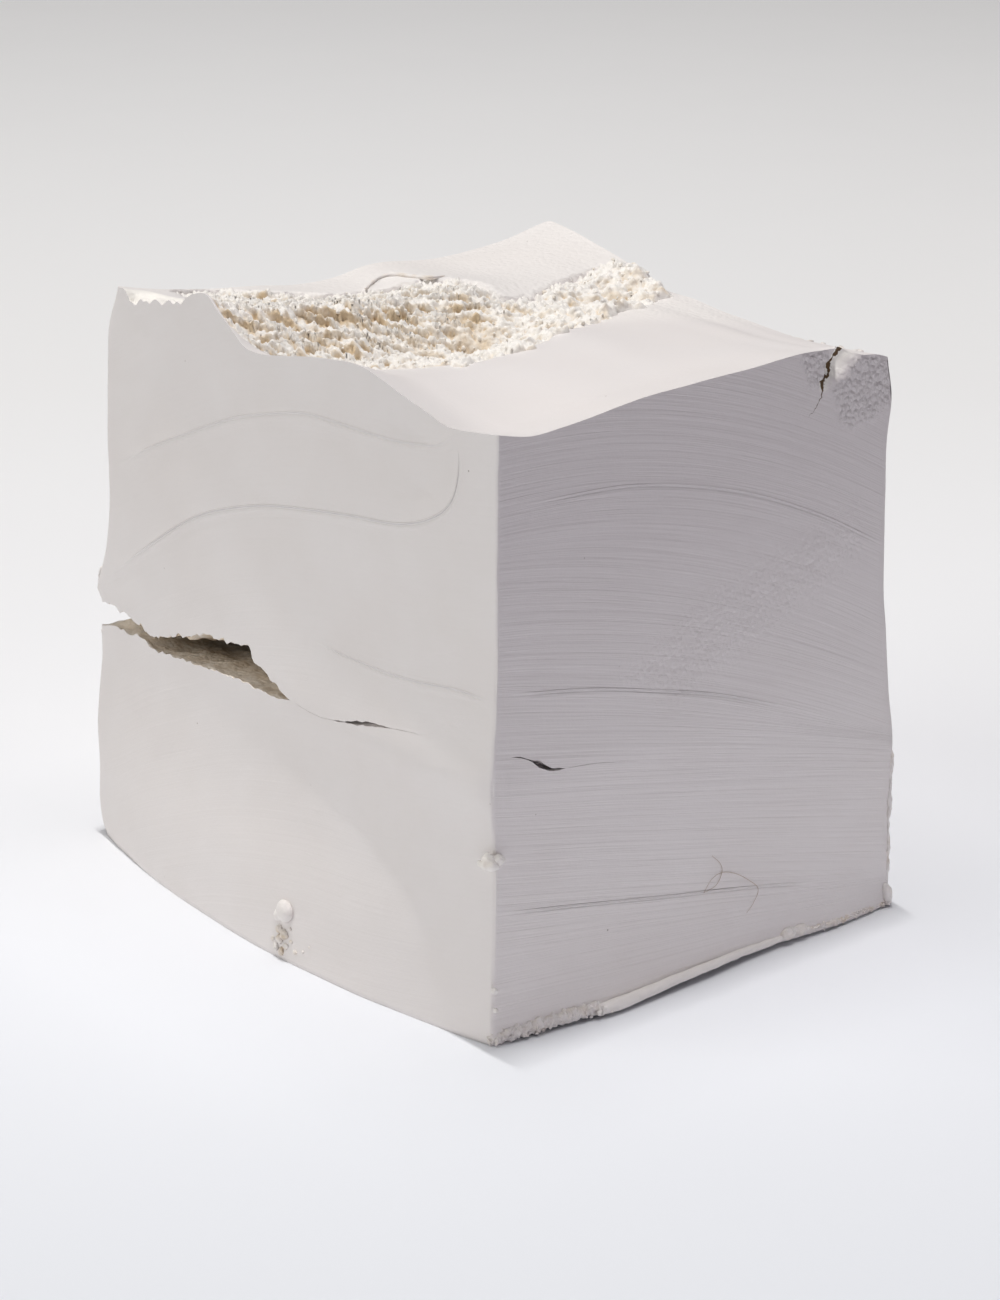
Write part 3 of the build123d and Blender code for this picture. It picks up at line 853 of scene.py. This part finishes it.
def hair_material():
    """Brown hair, lighter in streaks."""
    material, tree, place = new_material("hair")
    colour = blend_colour(tree, noise_texture(tree, place, 700.0, 2.0), HAIR_DARK, HAIR_LIGHT)
    finish_material(tree, node(tree, "BsdfPrincipled", Base_Color=colour, Roughness=0.4))
    return material


# Painted light and shade on the paper, from in front of the block to far behind it.
FLOOR_PAINTED_FALLOFF = [
    (0.04, (0.71, 0.735, 0.775, 1)), (0.17, (0.82, 0.84, 0.88, 1)), (0.24, (0.88, 0.885, 0.905, 1)),
    (0.38, (0.87, 0.87, 0.87, 1)), (0.8, (0.98, 0.98, 0.975, 1)),
]
AWAY_FROM_CAMERA = (-0.795, 0.606, 0)


def floor_material():
    """Pale paper; its colour is painted light and shade along the depth from the camera, so that it looks
    near white in front and a little greyer far behind.
    """
    material, tree, place = new_material("floor_paper")
    depth = node(tree, "VectorMath", operation="DOT_PRODUCT")
    fill(tree, depth.inputs[0], place)
    fill(tree, depth.inputs[1], AWAY_FROM_CAMERA)
    ramp = node(tree, "ValToRGB", Fac=value_map(tree, depth.outputs["Value"], -0.2, 0.8))
    stops = ramp.color_ramp.elements
    for at, shade in FLOOR_PAINTED_FALLOFF:
        stops.new(at).color = shade
    stops.remove(stops[0])
    stops.remove(stops[-1])
    fibre = value_map(tree, noise_texture(tree, place, 40.0, 4.0), 0.3, 0.7, 0.0, 0.05)
    colour = blend_colour(tree, fibre, ramp.outputs[0], (0.80, 0.80, 0.81, 1))
    shader = node(tree, "BsdfPrincipled", Base_Color=colour, Roughness=0.9)
    shader.inputs["Specular IOR Level"].default_value = 0.1
    finish_material(tree, shader)
    return material


cut_chalk = chalk_material("cut_chalk", 0.00011, 0.000016)
torn_chalk = chalk_material("torn_chalk", 0.0, 0.00003)
hair_brown = hair_material()

# ---- the two lumps ----
FINE = 1.0


def plan_cuts():
    """Where the lumps are cut in plan: finest at the front right edge, and fine around the crack."""
    across = cuts(WIDTH, lambda at: FINE * np.where(at > 59, 0.14, np.where(at < 34, 0.34, 0.44)))
    back = cuts(DEPTH, lambda at: FINE * np.where(
        at < 1, 0.14, np.where(abs(at - 39) < 4, 0.3, 0.36 + 0.006 * at)))
    return across, back


def rounded(gap, radius):
    """How far a face's point at that distance from its edge moves along the face and into the block."""
    share = np.clip(gap / radius, 0, 1)
    angle = np.radians(45) * (1 + share)
    return radius * (1 - np.cos(angle) - share), radius * (1 - np.sin(angle))


def round_edges(x, y, u, v):
    """Rounds off the four upright edges, in place."""
    for side_u, side_v, radius in EDGE_RADII:
        along, inward = rounded(np.abs(u - side_u) * WIDTH, radius)
        here = v == side_v
        x[here] += (1 - 2 * side_u) * along[here]
        y[here] += (1 - 2 * side_v) * inward[here]
        along, inward = rounded(np.abs(v - side_v) * DEPTH, radius)
        here = (u == side_u) & (v != side_v)
        x[here] += (1 - 2 * side_u) * inward[here]
        y[here] += (1 - 2 * side_v) * along[here]


def lump(us, vs, ws, bottom, top):
    """A lump's skin between two heights bottom and top of (u, v): share triples, faces and points."""
    places, faces = box_lattice(us, vs, ws)
    u, v, w = places.T
    z = mix(bottom(u, v), top(u, v), w)
    x, y = plan(u, v, z)
    front = v == 0
    right = u == 1
    y[front] -= front_relief(x[front], z[front])
    x[right] += right_relief(y[right], z[right])
    x -= facet_depth(y, z) * np.clip(1 - (1 - u) * WIDTH / 4, 0, 1)
    dent = sum(depth * np.exp(-((z - at) / 1.6) ** 2) for at, depth in EDGE_DENTS)
    dent = 0.7 * dent * np.clip(1 - np.hypot((1 - u) * WIDTH, v * DEPTH) / 1.6, 0, 1)
    x -= dent
    y += dent
    outside = np.column_stack([x, y, z])
    x[u == 0] += 0.25 * noise(outside[u == 0], 6.0, 21)
    y[v == 1] += 0.25 * noise(outside[v == 1], 6.0, 22)
    round_edges(x, y, u, v)
    return places, faces, np.column_stack([x, y, z])


def lower_bottom(u, v):
    """The lower lump's underside: flat, and lifted at the foot of the right face."""
    x, y = plan(u, v, 0 * u)
    return foot_lift(y) * (1 - smoothstep(0, LIFT_REACH, 31 - x)) + 0.02


def lower_top(u, v):
    return seam_surface(u, v, -1)


def upper_bottom(u, v):
    return seam_surface(u, v, 1)


def upper_top(u, v):
    """The upper lump's top: wire-cut, sunk under the torn bed, and chipped at the left of its front rim."""
    x, y = plan(u, v, np.full(len(u), TOP_LEVEL))
    flat = flat_points(x, y)
    rim = rim_gap(u, v)
    height = smooth_top(u, v) + 0.12 * noise(flat, 9.0, 31)
    height -= TORN_DEPTH * smoothstep(0.7, 1.9, torn_share(x, y)) * smoothstep(0.2, 1.1, rim)
    height += 0.1 * np.exp(-(rim / 0.5) ** 2)
    chips = rim_chips(x) * (1 - smoothstep(0.5, 2.6, v * DEPTH)) * (0.7 + 0.6 * noise(flat, 1.0, 32))
    return height - np.clip(chips, 0, 2.2) * (x < -13)


def lump_values(places, points, seam_end):
    """The values that the chalk's material reads, for a lump whose seam is at that end of w."""
    u, v, w = places.T
    x, y, z = points.T
    on_right = u == 1
    on_side = on_right | (u == 0) | (v == 0) | (v == 1)
    across_front, across_right = drag(points)
    front_line, front_rise = nearest_line(x, z, FRONT_MARKS)
    right_line, right_rise = nearest_line(y, z, RIGHT_MARKS)
    cleft = (w == seam_end) * np.clip(seam_sides(u, v)[2] / 0.6, 0, 1) * ~on_side
    crack_lean = np.cos(np.arctan(np.gradient(crack_side(CRACK_HEIGHTS), CRACK_HEIGHTS)))
    pits = (pitted(y, z) + 0.3 * patch(y, z, RIGHT_PATCH, 4)) * on_right
    on_rim = (w == 1 - seam_end) & (v > 0) & (v * DEPTH < 2.6) & (z > 50)
    chipped = on_rim & (x < -13) & (rim_chips(x) > 0.2)
    back_zone = (w == 1) * (z > 45) * back_share(x, y)
    facet = facet_share(y, z) * on_right * (z > FACET_FOOT)
    # Painted shade in the cleft: the upper lump's roof gets more tan and the dark recess colour, rising over
    # the first 3 mm in, than the lower lump's floor.
    torn, deep = (0.3, 0.0) if seam_end else (0.7, 0.25)
    return {
        "across_front": across_front,
        "across_right": across_right,
        "front_line": front_line,
        "front_rise": front_rise,
        "right_line": right_line,
        "right_rise": right_rise,
        "torn": cleft * torn,
        "deep": cleft * deep * smoothstep(0.0, 3.0, v * DEPTH),
        "pale": np.clip(cleft + chipped + 0.3 * back_zone + facet, 0, 1),
        "crack_offset": (y - crack_side(z)) * np.interp(z, CRACK_HEIGHTS, crack_lean),
        "crack_half": np.where(on_right & (z > CRACK_HEIGHTS[0]), crack_half(z), -1.0),
        "rough": np.clip(pits + 0.25 * cleft + 0.25 * back_zone, 0, 1),
    }


def make_lump(name, height, bottom, top, seam_end, sharp_ends, nodes):
    """A lump about that high, with sharp rims at these ends of w."""
    across, back = plan_cuts()
    up = cuts(height, lambda at: FINE * 0.38 + 0 * at)
    places, faces, points = lump(across, back, up, bottom, top)
    on_side = ((places[:, :2] == 0) | (places[:, :2] == 1)).any(axis=1)
    sharp = on_side & np.isin(places[:, 2], sharp_ends)
    make_piece(name, points, faces, cut_chalk, "cake", nodes, sharp, **lump_values(places, points, seam_end))


make_lump("lower_lump", 23, lower_bottom, lower_top, 1, [1], ["lower_block"])
make_lump("upper_lump", 30, upper_bottom, upper_top, 0, [0, 1], ["upper_block", "corner_chunk"])

# What the material reads where the corner's crack is nowhere near.
UNCRACKED = {"crack_offset": 0.0, "crack_half": -1.0}

# ---- the torn bed ----
def bed_relief(x, y, warp):
    """Height of the torn grains: terraces on the left, standing tufts elsewhere, and finer grains on both."""
    flat = flat_points(x, y)
    towards = x * TOWARDS[0] + y * TOWARDS[1]
    along = x * ALONG[0] + y * ALONG[1]
    ledge = towards / 1.7 + 0.5 * noise(flat, 1.1, 44)
    ledge = ledge + 1.5 * noise(flat_points(along / 3.2, towards), 2.2, 43)
    ledge = ledge - np.floor(ledge)
    terraces = np.minimum(ledge, 6 * (1 - ledge)) + 0.5 * noise(flat, 3.2, 45) - 0.05
    clumps = tufts(flat[:, :2] + 0.9 * warp, 1.9, 1)
    small = tufts(flat[:, :2] + 0.5 * warp, 0.85, 2)
    fine = tufts(flat[:, :2] + 0.25 * warp, 0.42, 3)
    standing = 0.95 * clumps + 1.1 * noise(flat, 3.6, 46)
    left_share = 1 - smoothstep(-9, -1, x + 0.25 * (y + 5))
    return mix(standing, terraces, left_share) + 0.6 * small + 0.5 * fine


def bed_height(x, y, top, inside, pit, relief):
    """Height of the bed: below the smooth top, lowest in the hollow and the pit, raised at the back."""
    hollow = np.exp(-((x + 2.5) / 6.0) ** 2 - ((y + 1.5) / 8.0) ** 2)
    ridge = np.exp(-((x + 9.5) / 3.4) ** 2 - ((y - 24.5) / 3.5) ** 2)
    sunk = mix(1.5, 0.95, back_share(x, y) * smoothstep(-14, -6, x))
    sunk = sunk + (1.4 * hollow + 2.4 * pit) * smoothstep(0.5, 3.0, inside)
    sunk = sunk + 1.6 * np.clip(-inside, 0, 1)
    return top - sunk + 1.2 * ridge + relief * smoothstep(-0.5, 1.0, inside)


def bed_painted_shade(x, y, height, shape, step, inside, pit):
    """Painted shade on the torn grains, as tan: on slopes towards the viewer, more in patches, in the hollows
    between grains and in the pit.
    """
    grid = height.reshape(shape)
    blurred = grid
    for _ in range(12):
        around = [np.roll(blurred, way, axis) for axis in (0, 1) for way in (1, -1)]
        blurred = (blurred + sum(around)) / 5
    slope_x, slope_y = np.gradient(blurred, step)
    facing = -(slope_x * TOWARDS[0] + slope_y * TOWARDS[1]).ravel()
    patches = smoothstep(-0.5, 0.35, noise(flat_points(x, y), 5.0, 47))
    painted_tan_shade = smoothstep(0.15, 0.9, facing) * (0.45 + 0.6 * patches)
    painted_tan_shade = painted_tan_shade + 0.75 * smoothstep(0.04, 0.32, (blurred - grid).ravel()) + 0.9 * pit
    return np.clip(painted_tan_shade * smoothstep(0.2, 1.4, inside), 0, 1)


def closed_below(points, quads, thickness):
    """Closes an open sheet with a copy of itself that much lower."""
    count = len(points)
    ends = np.stack([quads, np.roll(quads, -1, axis=1)], -1).reshape(-1, 2)
    keys = ends[:, 0] * (count + 1) + ends[:, 1]
    back_keys = ends[:, 1] * (count + 1) + ends[:, 0]
    border = ends[~np.isin(keys, back_keys)]
    walls = np.column_stack([border[:, 1], border[:, 0], border[:, 0] + count, border[:, 1] + count])
    faces = np.concatenate([quads, quads[:, ::-1] + count, walls])
    return np.concatenate([points, points - [0, 0, thickness]]), faces


def torn_bed():
    """The torn, crumbly bed, leaning towards the viewer; gives back its upper points for the loose crumbs."""
    step = 0.16 * FINE
    xs = np.arange(-29.5, 11.2, step)
    ys = np.arange(-24.6, 28.4, step)
    shape = (len(xs), len(ys))
    x, y = (grid.ravel() for grid in np.meshgrid(xs, ys, indexing="ij"))
    flat = flat_points(x, y)
    warp = np.column_stack([noise(flat, 2.4, 41), noise(flat, 2.4, 42)])
    u, v = shares(x, y, np.full(len(x), TOP_LEVEL))
    inside = np.minimum(torn_share(x, y), 1.6 * (rim_gap(u, v) - 0.6))
    pit = np.exp(-(((x - PIT[0]) ** 2 + (y - PIT[1]) ** 2) / 1.1 ** 2))
    relief = bed_relief(x, y, warp)
    height = bed_height(x, y, smooth_top(u, v), inside, pit, relief)
    painted_tan_shade = bed_painted_shade(x, y, height, shape, step, inside, pit)
    lean = 0.42 * (relief - 0.8) * smoothstep(0.5, 2.5, inside)
    across = x + lean * TOWARDS[0] + 0.22 * warp[:, 0]
    back = y + lean * TOWARDS[1] + 0.22 * warp[:, 1]
    quads = grid_quads(np.arange(len(x)).reshape(shape))
    quads = quads[(inside[quads] > -0.85).all(axis=1)]
    used, quads = np.unique(quads, return_inverse=True)
    upper = np.column_stack([across, back, height])[used]
    points, faces = closed_below(upper, quads.reshape(-1, 4), 2.2)
    # The bed's tan and its dark brown in the pit are painted shade.
    torn = np.tile(painted_tan_shade[used], 2)
    deep = np.tile(0.35 * pit[used] * painted_tan_shade[used], 2)
    make_piece("torn_bed", points, faces, torn_chalk, "cake", torn=torn, deep=deep, rough=0.3, pale=0.8,
               **UNCRACKED)
    return upper


bed_top = torn_bed()

# ---- crumbs, burrs and threads ----
def ball(detail):
    """Points and triangles of a unit ball."""
    made = bmesh.new()
    bmesh.ops.create_icosphere(made, subdivisions=detail, radius=1)
    points = np.array([vertex.co[:] for vertex in made.verts])
    faces = np.array([[vertex.index for vertex in face.verts] for face in made.faces])
    made.free()
    return points, faces


BALLS = {detail: ball(detail) for detail in (2, 3, 4)}


def blob(centre, radii, turn, lumpiness, grain, detail, seed):
    """A lumpy closed pellet: points and triangles. turn is in degrees about x, y and z."""
    outward, faces = BALLS[detail]
    points = outward * radii
    points = points + outward * (lumpiness * min(radii) * fractal(points + 3.3 * seed, grain, 3, 51))[:, None]
    spin = np.array(Euler([math.radians(angle) for angle in turn]).to_matrix())
    return points @ spin.T + centre, faces


def blobs(seed, *rows):
    """Pellets from rows of the values that blob() takes, with seeds from this one on."""
    return [blob(*row, seed + n) for n, row in enumerate(rows)]


def tube(path, radii, rows, rough, grain, seed, around, height=1.0):
    """A closed tube along a smooth path, with radii spread along it; height stretches it upright."""
    centre = spline_points(path, rows)
    radius = np.interp(np.linspace(0, 1, len(centre)), np.linspace(0, 1, len(radii)), radii)
    ahead = np.gradient(centre, axis=0)
    ahead /= np.linalg.norm(ahead, axis=1)[:, None]
    aside = np.cross(ahead, [0, 0, 1])
    aside /= np.linalg.norm(aside, axis=1)[:, None]
    upward = np.cross(aside, ahead)
    angle = np.linspace(0, 2 * math.pi, around, endpoint=False)
    ring = aside[:, None] * np.cos(angle)[:, None] + height * upward[:, None] * np.sin(angle)[:, None]
    skin = (centre[:, None] + ring * radius[:, None, None]).reshape(-1, 3)
    skin = skin + ring.reshape(-1, 3) * (rough * fractal(skin + 7.7 * seed, grain, 3, 61))[:, None]
    points = np.vstack([skin, centre[0], centre[-1]])
    number = np.arange(len(centre) * around).reshape(len(centre), around)
    beside = np.roll(number, -1, axis=1)
    quads = np.stack([number[:-1], beside[:-1], beside[1:], number[1:]], -1).reshape(-1, 4).tolist()
    first, last = len(skin), len(skin) + 1
    caps = [[first, beside[0, n], number[0, n]] for n in range(around)]
    caps += [[last, number[-1, n], beside[-1, n]] for n in range(around)]
    return points, quads + caps


def merge(parts):
    """Several (points, faces) as one."""
    points, faces, start = [], [], 0
    for part_points, part_faces in parts:
        points.append(part_points)
        faces += [[start + corner for corner in face] for face in part_faces]
        start += len(part_points)
    return np.vstack(points), faces


def front_y(x, z):
    """Where the front face is at (x, z)."""
    u = 0.5
    for _ in range(8):
        u = u + (x - plan(u, 0, z)[0]) / WIDTH
    return plan(u, 0, z)[1] - front_relief(np.array([x]), np.array([z]))[0]


def right_x(y, z):
    """Where the right face is at (y, z)."""
    v = 0.5
    for _ in range(8):
        v = v + (y - plan(1, v, z)[1]) / DEPTH
    return plan(1, v, z)[0] + right_relief(np.array([y]), np.array([z]))[0]


def foot_x(y):
    """Where the foot of the right face is."""
    return right_x(y, 0.8)


def small_piece(name, replaced, parts, torn, rough, pale=0.3):
    """A piece of crumbly chalk made of several parts."""
    points, faces = merge(parts)
    spots = torn * np.clip(0.6 + noise(points, 0.9, 71), 0, 2)
    make_piece(name, points, faces, torn_chalk, "smeared_bits", [replaced], torn=spots, rough=rough, deep=0.0,
               pale=pale, **UNCRACKED)


def random_crumb(x, y, out, height, radii, lumpiness, grain, detail, seed):
    """A crumb at (x, y), with ranges for how far it stands out, its height and its radii."""
    place = (x + _random.uniform(*out), y, _random.uniform(*height))
    return blob(place, _random.uniform(*radii, 3), _random.uniform(0, 180, 3), lumpiness, grain, detail, seed)


UNTURNED = (0, 0, 0)


def front_lip():
    """The ragged lip of smeared chalk at the foot of the right face, nearest the front."""
    path = [(foot_x(y) + out, y, z) for y, out, z in (
        (-23.4, -0.3, 0.5), (-21.8, -0.25, 0.75), (-19.6, -0.2, 0.85), (-17.4, -0.2, 0.85),
        (-15.2, -0.2, 0.85), (-13.2, -0.15, 0.9), (-12.2, -0.1, 0.95))]
    parts = [tube(path, [0.35, 0.55, 0.55, 0.55, 0.5, 0.5, 0.45], 30, 0.26, 0.5, 1, 26, 1.1)]
    for n in range(70):
        y = _random.uniform(-23.3, -12.0)
        parts.append(random_crumb(foot_x(y), y, (-0.1, 0.35), (0.3, 0.9), (0.08, 0.24), 0.6, 0.3, 2, n))
    small_piece("front_lip_smear", "front_lip", parts, 0.2, 0.6, 0.1)


def rolled_bead():
    """The smooth rolled strip under the lifted edge."""
    path = [(foot_x(y) + out, y, z) for y, out, z in (
        (-12.4, 0.15, 0.75), (-10.2, 0.2, 0.75), (-7.4, 0.2, 0.8), (-4.4, 0.2, 0.9), (-1.4, 0.2, 0.95),
        (1.2, 0.2, 0.95), (4.0, 0.15, 0.9), (6.6, 0.1, 0.8), (9.0, 0.05, 0.75), (10.4, 0.0, 0.8))]
    parts = [tube(path, [0.5, 0.56, 0.52, 0.46, 0.42, 0.4, 0.38, 0.36, 0.34, 0.25], 14, 0.05, 1.6, 2, 24)]
    for n in range(9):
        y = -12.7 + 0.16 * n
        parts.append(random_crumb(foot_x(-12.4), y, (-0.1, 0.5), (0.5, 1.2), (0.14, 0.34), 0.5, 0.4, 3, n))
    # The strip's paler colour is painted light: it stands in for the light that its top catches.
    small_piece("rolled_bead_strip", "rolled_bead", parts, 0.05, 0.1, 0.4)


def folded_pellet():
    """The folded pellet where that strip ends."""
    parts = blobs(
        1,
        ((foot_x(10.9) - 0.05, 10.9, 1.0), (0.5, 0.95, 0.62), (0, 10, 8), 0.25, 0.7, 4),
        ((foot_x(12.2) - 0.05, 12.2, 0.95), (0.48, 0.85, 0.58), (12, 0, -10), 0.25, 0.7, 4),
        ((foot_x(13.2) - 0.1, 13.2, 0.75), (0.35, 0.55, 0.36), (0, 20, 10), 0.3, 0.6, 3),
    )
    small_piece("folded_pellet_lump", "folded_pellet", parts, 0.15, 0.5)


def crumpled_burr():
    """The crumpled burr along the rest of that edge."""
    places = ((13.4, 0.7), (16.0, 0.6), (19.0, 0.5), (21.6, 0.4), (23.9, 0.3))
    path = [(foot_x(y) - 0.1, y, z) for y, z in places]
    parts = [tube(path, [0.3, 0.34, 0.26, 0.24, 0.12], 40, 0.2, 0.45, 3, 18)]
    for n in range(44):
        y = _random.uniform(13.8, 23.8)
        parts.append(random_crumb(foot_x(y), y, (-0.1, 0.15), (0.25, 0.75), (0.07, 0.2), 0.6, 0.3, 2, n + 40))
    small_piece("crumpled_burr_strip", "crumpled_burr", parts, 0.3, 0.7, 0.1)


def corner_crumb():
    """The crumb at the rear foot of the right face."""
    parts = blobs(
        5,
        ((28.6, 23.75, 1.45), (0.45, 0.5, 1.0), (14, 0, 0), 0.25, 0.8, 4),
        ((28.5, 23.95, 0.55), (0.4, 0.4, 0.4), (0, 20, 0), 0.3, 0.6, 3),
    )
    small_piece("corner_crumb_pellet", "corner_crumb", parts, 0.14, 0.3)


def rear_edge_burr():
    """The thin burr up the rear edge of the right face."""
    path = [(28.3, 23.9, 2.4), (28.2, 24.01, 5.0), (28.2, 23.97, 8.0), (28.15, 24.03, 11.0),
            (28.1, 24.14, 14.2), (28.05, 23.95, 15.6)]
    parts = [tube(path, [0.08, 0.2, 0.14, 0.18, 0.2, 0.06], 18, 0.14, 0.8, 4, 12)]
    for n, z in enumerate((4.2, 9.6, 13.6)):
        parts.append(blob((28.2, 24.1, z), (0.16, 0.22, 0.4), (0, 0, 30), 0.6, 0.5, 3, n))
    small_piece("rear_edge_burr_strip", "rear_edge_burr", parts, 0.16, 0.4)


def front_edge_bits():
    """The crumb stuck to the front edge, and the two specks below it."""
    crumb = blobs(
        7,
        ((30.5, -23.3, 16.6), (0.8, 0.5, 0.7), (0, 20, 20), 0.35, 0.8, 4),
        ((29.7, -23.3, 16.2), (0.8, 0.35, 0.4), UNTURNED, 0.4, 0.6, 3),
        ((30.8, -22.7, 16.8), (0.4, 0.6, 0.5), UNTURNED, 0.4, 0.6, 3),
    )
    small_piece("edge_crumb_lump", "edge_crumb", crumb, 0.12, 0.3, 0.6)
    specks = blobs(
        10,
        ((30.9, -23.2, 5.2), (0.26, 0.26, 0.34), UNTURNED, 0.4, 0.4, 3),
        ((30.95, -23.1, 3.4), (0.2, 0.2, 0.24), UNTURNED, 0.4, 0.4, 3),
    )
    small_piece("edge_specks_pair", "edge_specks", specks, 0.1, 0.2)


def button_pellet():
    """The round pellet near the foot of the left face, and the crumbs below it."""
    button_y = front_y(4.7, 4.5)
    button = blobs(
        12,
        ((4.75, button_y - 0.15, 4.45), (1.05, 0.62, 1.0), UNTURNED, 0.12, 1.4, 4),
        ((3.75, button_y - 0.05, 3.75), (0.6, 0.4, 0.55), UNTURNED, 0.25, 0.8, 3),
    )
    small_piece("button_pellet_lump", "button_pellet", button, 0.06, 0.15)
    crumbs = [
        blob((x, front_y(x, z) - 0.02, z), (radius, 0.6 * radius, radius), UNTURNED, 0.5, 0.45, 3, x + z)
        for x, z, radius in (
            (4.1, 2.6, 0.42), (4.9, 2.3, 0.5), (4.3, 1.7, 0.46), (5.2, 1.3, 0.36), (3.9, 0.9, 0.4),
            (4.7, 0.7, 0.42), (5.9, 1.9, 0.22), (6.6, 1.2, 0.26), (3.3, 1.5, 0.24), (7.6, 1.5, 0.18),
            (5.6, 3.0, 0.2), (8.4, 2.2, 0.14))
    ]
    small_piece("gouge_crumb_heap", "gouge_crumbs", crumbs, 0.5, 0.8)


def left_edge_burr():
    """Ragged tips where the open cleft meets the left edge."""
    tips = blobs(
        14,
        ((-30.45, -23.1, 24.8), (0.34, 0.4, 1.0), (0, -10, 0), 0.3, 0.7, 3),
        ((-30.35, -23.1, 26.2), (0.22, 0.35, 0.8), (0, 12, 0), 0.3, 0.7, 3),
        ((-30.1, -23.2, 20.6), (0.2, 0.3, 0.6), (0, 8, 0), 0.3, 0.7, 3),
    )
    small_piece("left_edge_burr_tips", "left_edge_burr", tips, 0.15, 0.5)


def top_crumbs():
    """Loose crumbs over the torn bed, clear of its outline and of the sides."""
    loose = []
    for n, place in enumerate(bed_top[_random.choice(len(bed_top), 700, replace=False)]):
        radius = 0.09 + 0.15 * _random.random() ** 2
        u, v = shares(place[:1], place[1:2], np.array([TOP_LEVEL]))
        if rim_gap(u, v)[0] < 0.4 or outline_distance(place[:1], place[1:2], TORN_OUTLINE)[0] < -0.3:
            continue
        radii = _random.uniform(0.7, 1.2, 3) * radius
        turn = _random.uniform(0, 180, 3)
        loose.append(blob(place + [0, 0, 0.35 * radius], radii, turn, 0.5, 0.4, 2, n))
    small_piece("loose_top_crumbs", "top_crumbs", loose, 0.25, 0.3, 1.0)


def clay_thread():
    """The thin thread on the smooth back part of the top."""
    path = np.array([(-20.2, 0.5), (-22.3, 3.4), (-21.7, 4.9), (-19.6, 5.4), (-17.6, 6.0), (-17.7, 7.9)])
    u, v = shares(path[:, 0], path[:, 1], np.full(len(path), TOP_LEVEL))
    path = np.column_stack([path, smooth_top(u, v) + 0.12])
    thread = tube(path, [0.08, 0.2, 0.22, 0.2, 0.24, 0.06], 10, 0.05, 0.8, 5, 12)
    small_piece("fallen_clay_thread", "clay_thread", [thread], 0.25, 0.2)


def rim_burr():
    """Flakes along the rear rim."""
    flakes = []
    for n, x in enumerate((6.4, 7.2, 8.1, 9.4, 11.6, 12.4, 13.8, 15.2, 17.0, 19.4, 21.4)):
        place = (x, 24.1 + 0.02 * x, back_rim(x) - 0.1)
        flakes.append(blob(place, (0.5 + 0.1 * (n % 3), 0.3, 0.16), (0, 0, 40 * n), 0.7, 0.4, 3, n))
    small_piece("rear_rim_flakes", "rim_burr", flakes, 0.3, 0.7)


def stray_hair():
    """The hair stuck to the right face, in two loops over (y, z)."""
    loops = [
        [(0.8, 7.5), (1.8, 8.5), (3.0, 8.8), (4.6, 8.3), (6.3, 7.2), (7.4, 6.1), (6.8, 4.9), (6.0, 4.2)],
        [(1.8, 10.7), (2.8, 9.7), (3.0, 8.8), (2.3, 7.8), (0.8, 7.5)],
    ]
    hairs = []
    for loop in loops:
        path = [(right_x(y, z) + 0.1, y, z) for y, z in loop]
        hairs.append(tube(path, [0.014, 0.022, 0.022, 0.012], 8, 0.0, 1.0, 0, 8))
    points, faces = merge(hairs)
    make_piece("stuck_hair", points, faces, hair_brown, "hair", ["stray_hair"])


front_lip()
rolled_bead()
folded_pellet()
crumpled_burr()
corner_crumb()
rear_edge_burr()
front_edge_bits()
button_pellet()
left_edge_burr()
top_crumbs()
clay_thread()
rim_burr()
stray_hair()


# ---- stage, lights and camera ----
def floor():
    """The sheet of paper that the block stands on."""
    mesh = bpy.data.meshes.new("floor")
    side = np.linspace(-3.0, 3.0, 25)
    x, y = np.meshgrid(side, side, indexing="ij")
    quads = grid_quads(np.arange(x.size).reshape(x.shape))
    mesh.from_pydata(flat_points(x.ravel(), y.ravel()), [], quads.tolist())
    mesh.materials.append(floor_material())
    plane = bpy.data.objects.new("floor", mesh)
    bpy.context.scene.collection.objects.link(plane)


def area_light(name, place, aim, size, power, colour, spread=180):
    """A rectangular lamp that points at aim."""
    light = bpy.data.lights.new(name, "AREA")
    light.shape = "RECTANGLE"
    light.size, light.size_y = size
    light.energy = power
    light.color = colour
    light.spread = math.radians(spread)
    lamp = bpy.data.objects.new(name, light)
    lamp.location = place
    lamp.rotation_euler = (Vector(aim) - Vector(place)).to_track_quat("-Z", "Y").to_euler()
    bpy.context.scene.collection.objects.link(lamp)


floor()
area_light("key_overhead", (-0.012, 0.0, 0.9), (0, 0, 0.02), (0.01, 0.09), 3.7, (1.0, 0.985, 0.97))
area_light("soft_overhead", (0.03, 0.0, 1.0), (0.03, 0, 0.02), (0.7, 0.7), 3.55, (0.99, 0.98, 0.98))
area_light("fill_front_left", (-0.35, -0.95, 0.45), (0, 0, 0.03), (0.9, 0.7), 4.5, (1.0, 0.98, 0.91))
area_light("low_right", (0.6, 0.05, 0.05), (0.03, 0, 0.0), (0.5, 0.05), 0.04, (1.0, 0.91, 1.0), 40)

world = bpy.data.worlds.new("studio")
world.use_nodes = True
world.node_tree.nodes["Background"].inputs[0].default_value = (0.96, 0.93, 1.0, 1)
world.node_tree.nodes["Background"].inputs[1].default_value = 0.11
bpy.context.scene.world = world
bpy.context.scene.view_settings.view_transform = "Standard"

CAMERA_PLACE = Vector((0.25038, -0.18997, 0.12964))
CAMERA_AIM = Vector((0.0019, -0.0005, 0.02266))
camera = bpy.data.objects.new("camera", bpy.data.cameras.new("camera"))
camera.data.lens = 100
camera.data.sensor_width = 36
camera.location = CAMERA_PLACE
camera.rotation_euler = (CAMERA_AIM - CAMERA_PLACE).to_track_quat("-Z", "Y").to_euler()
bpy.context.scene.collection.objects.link(camera)
bpy.context.scene.camera = camera
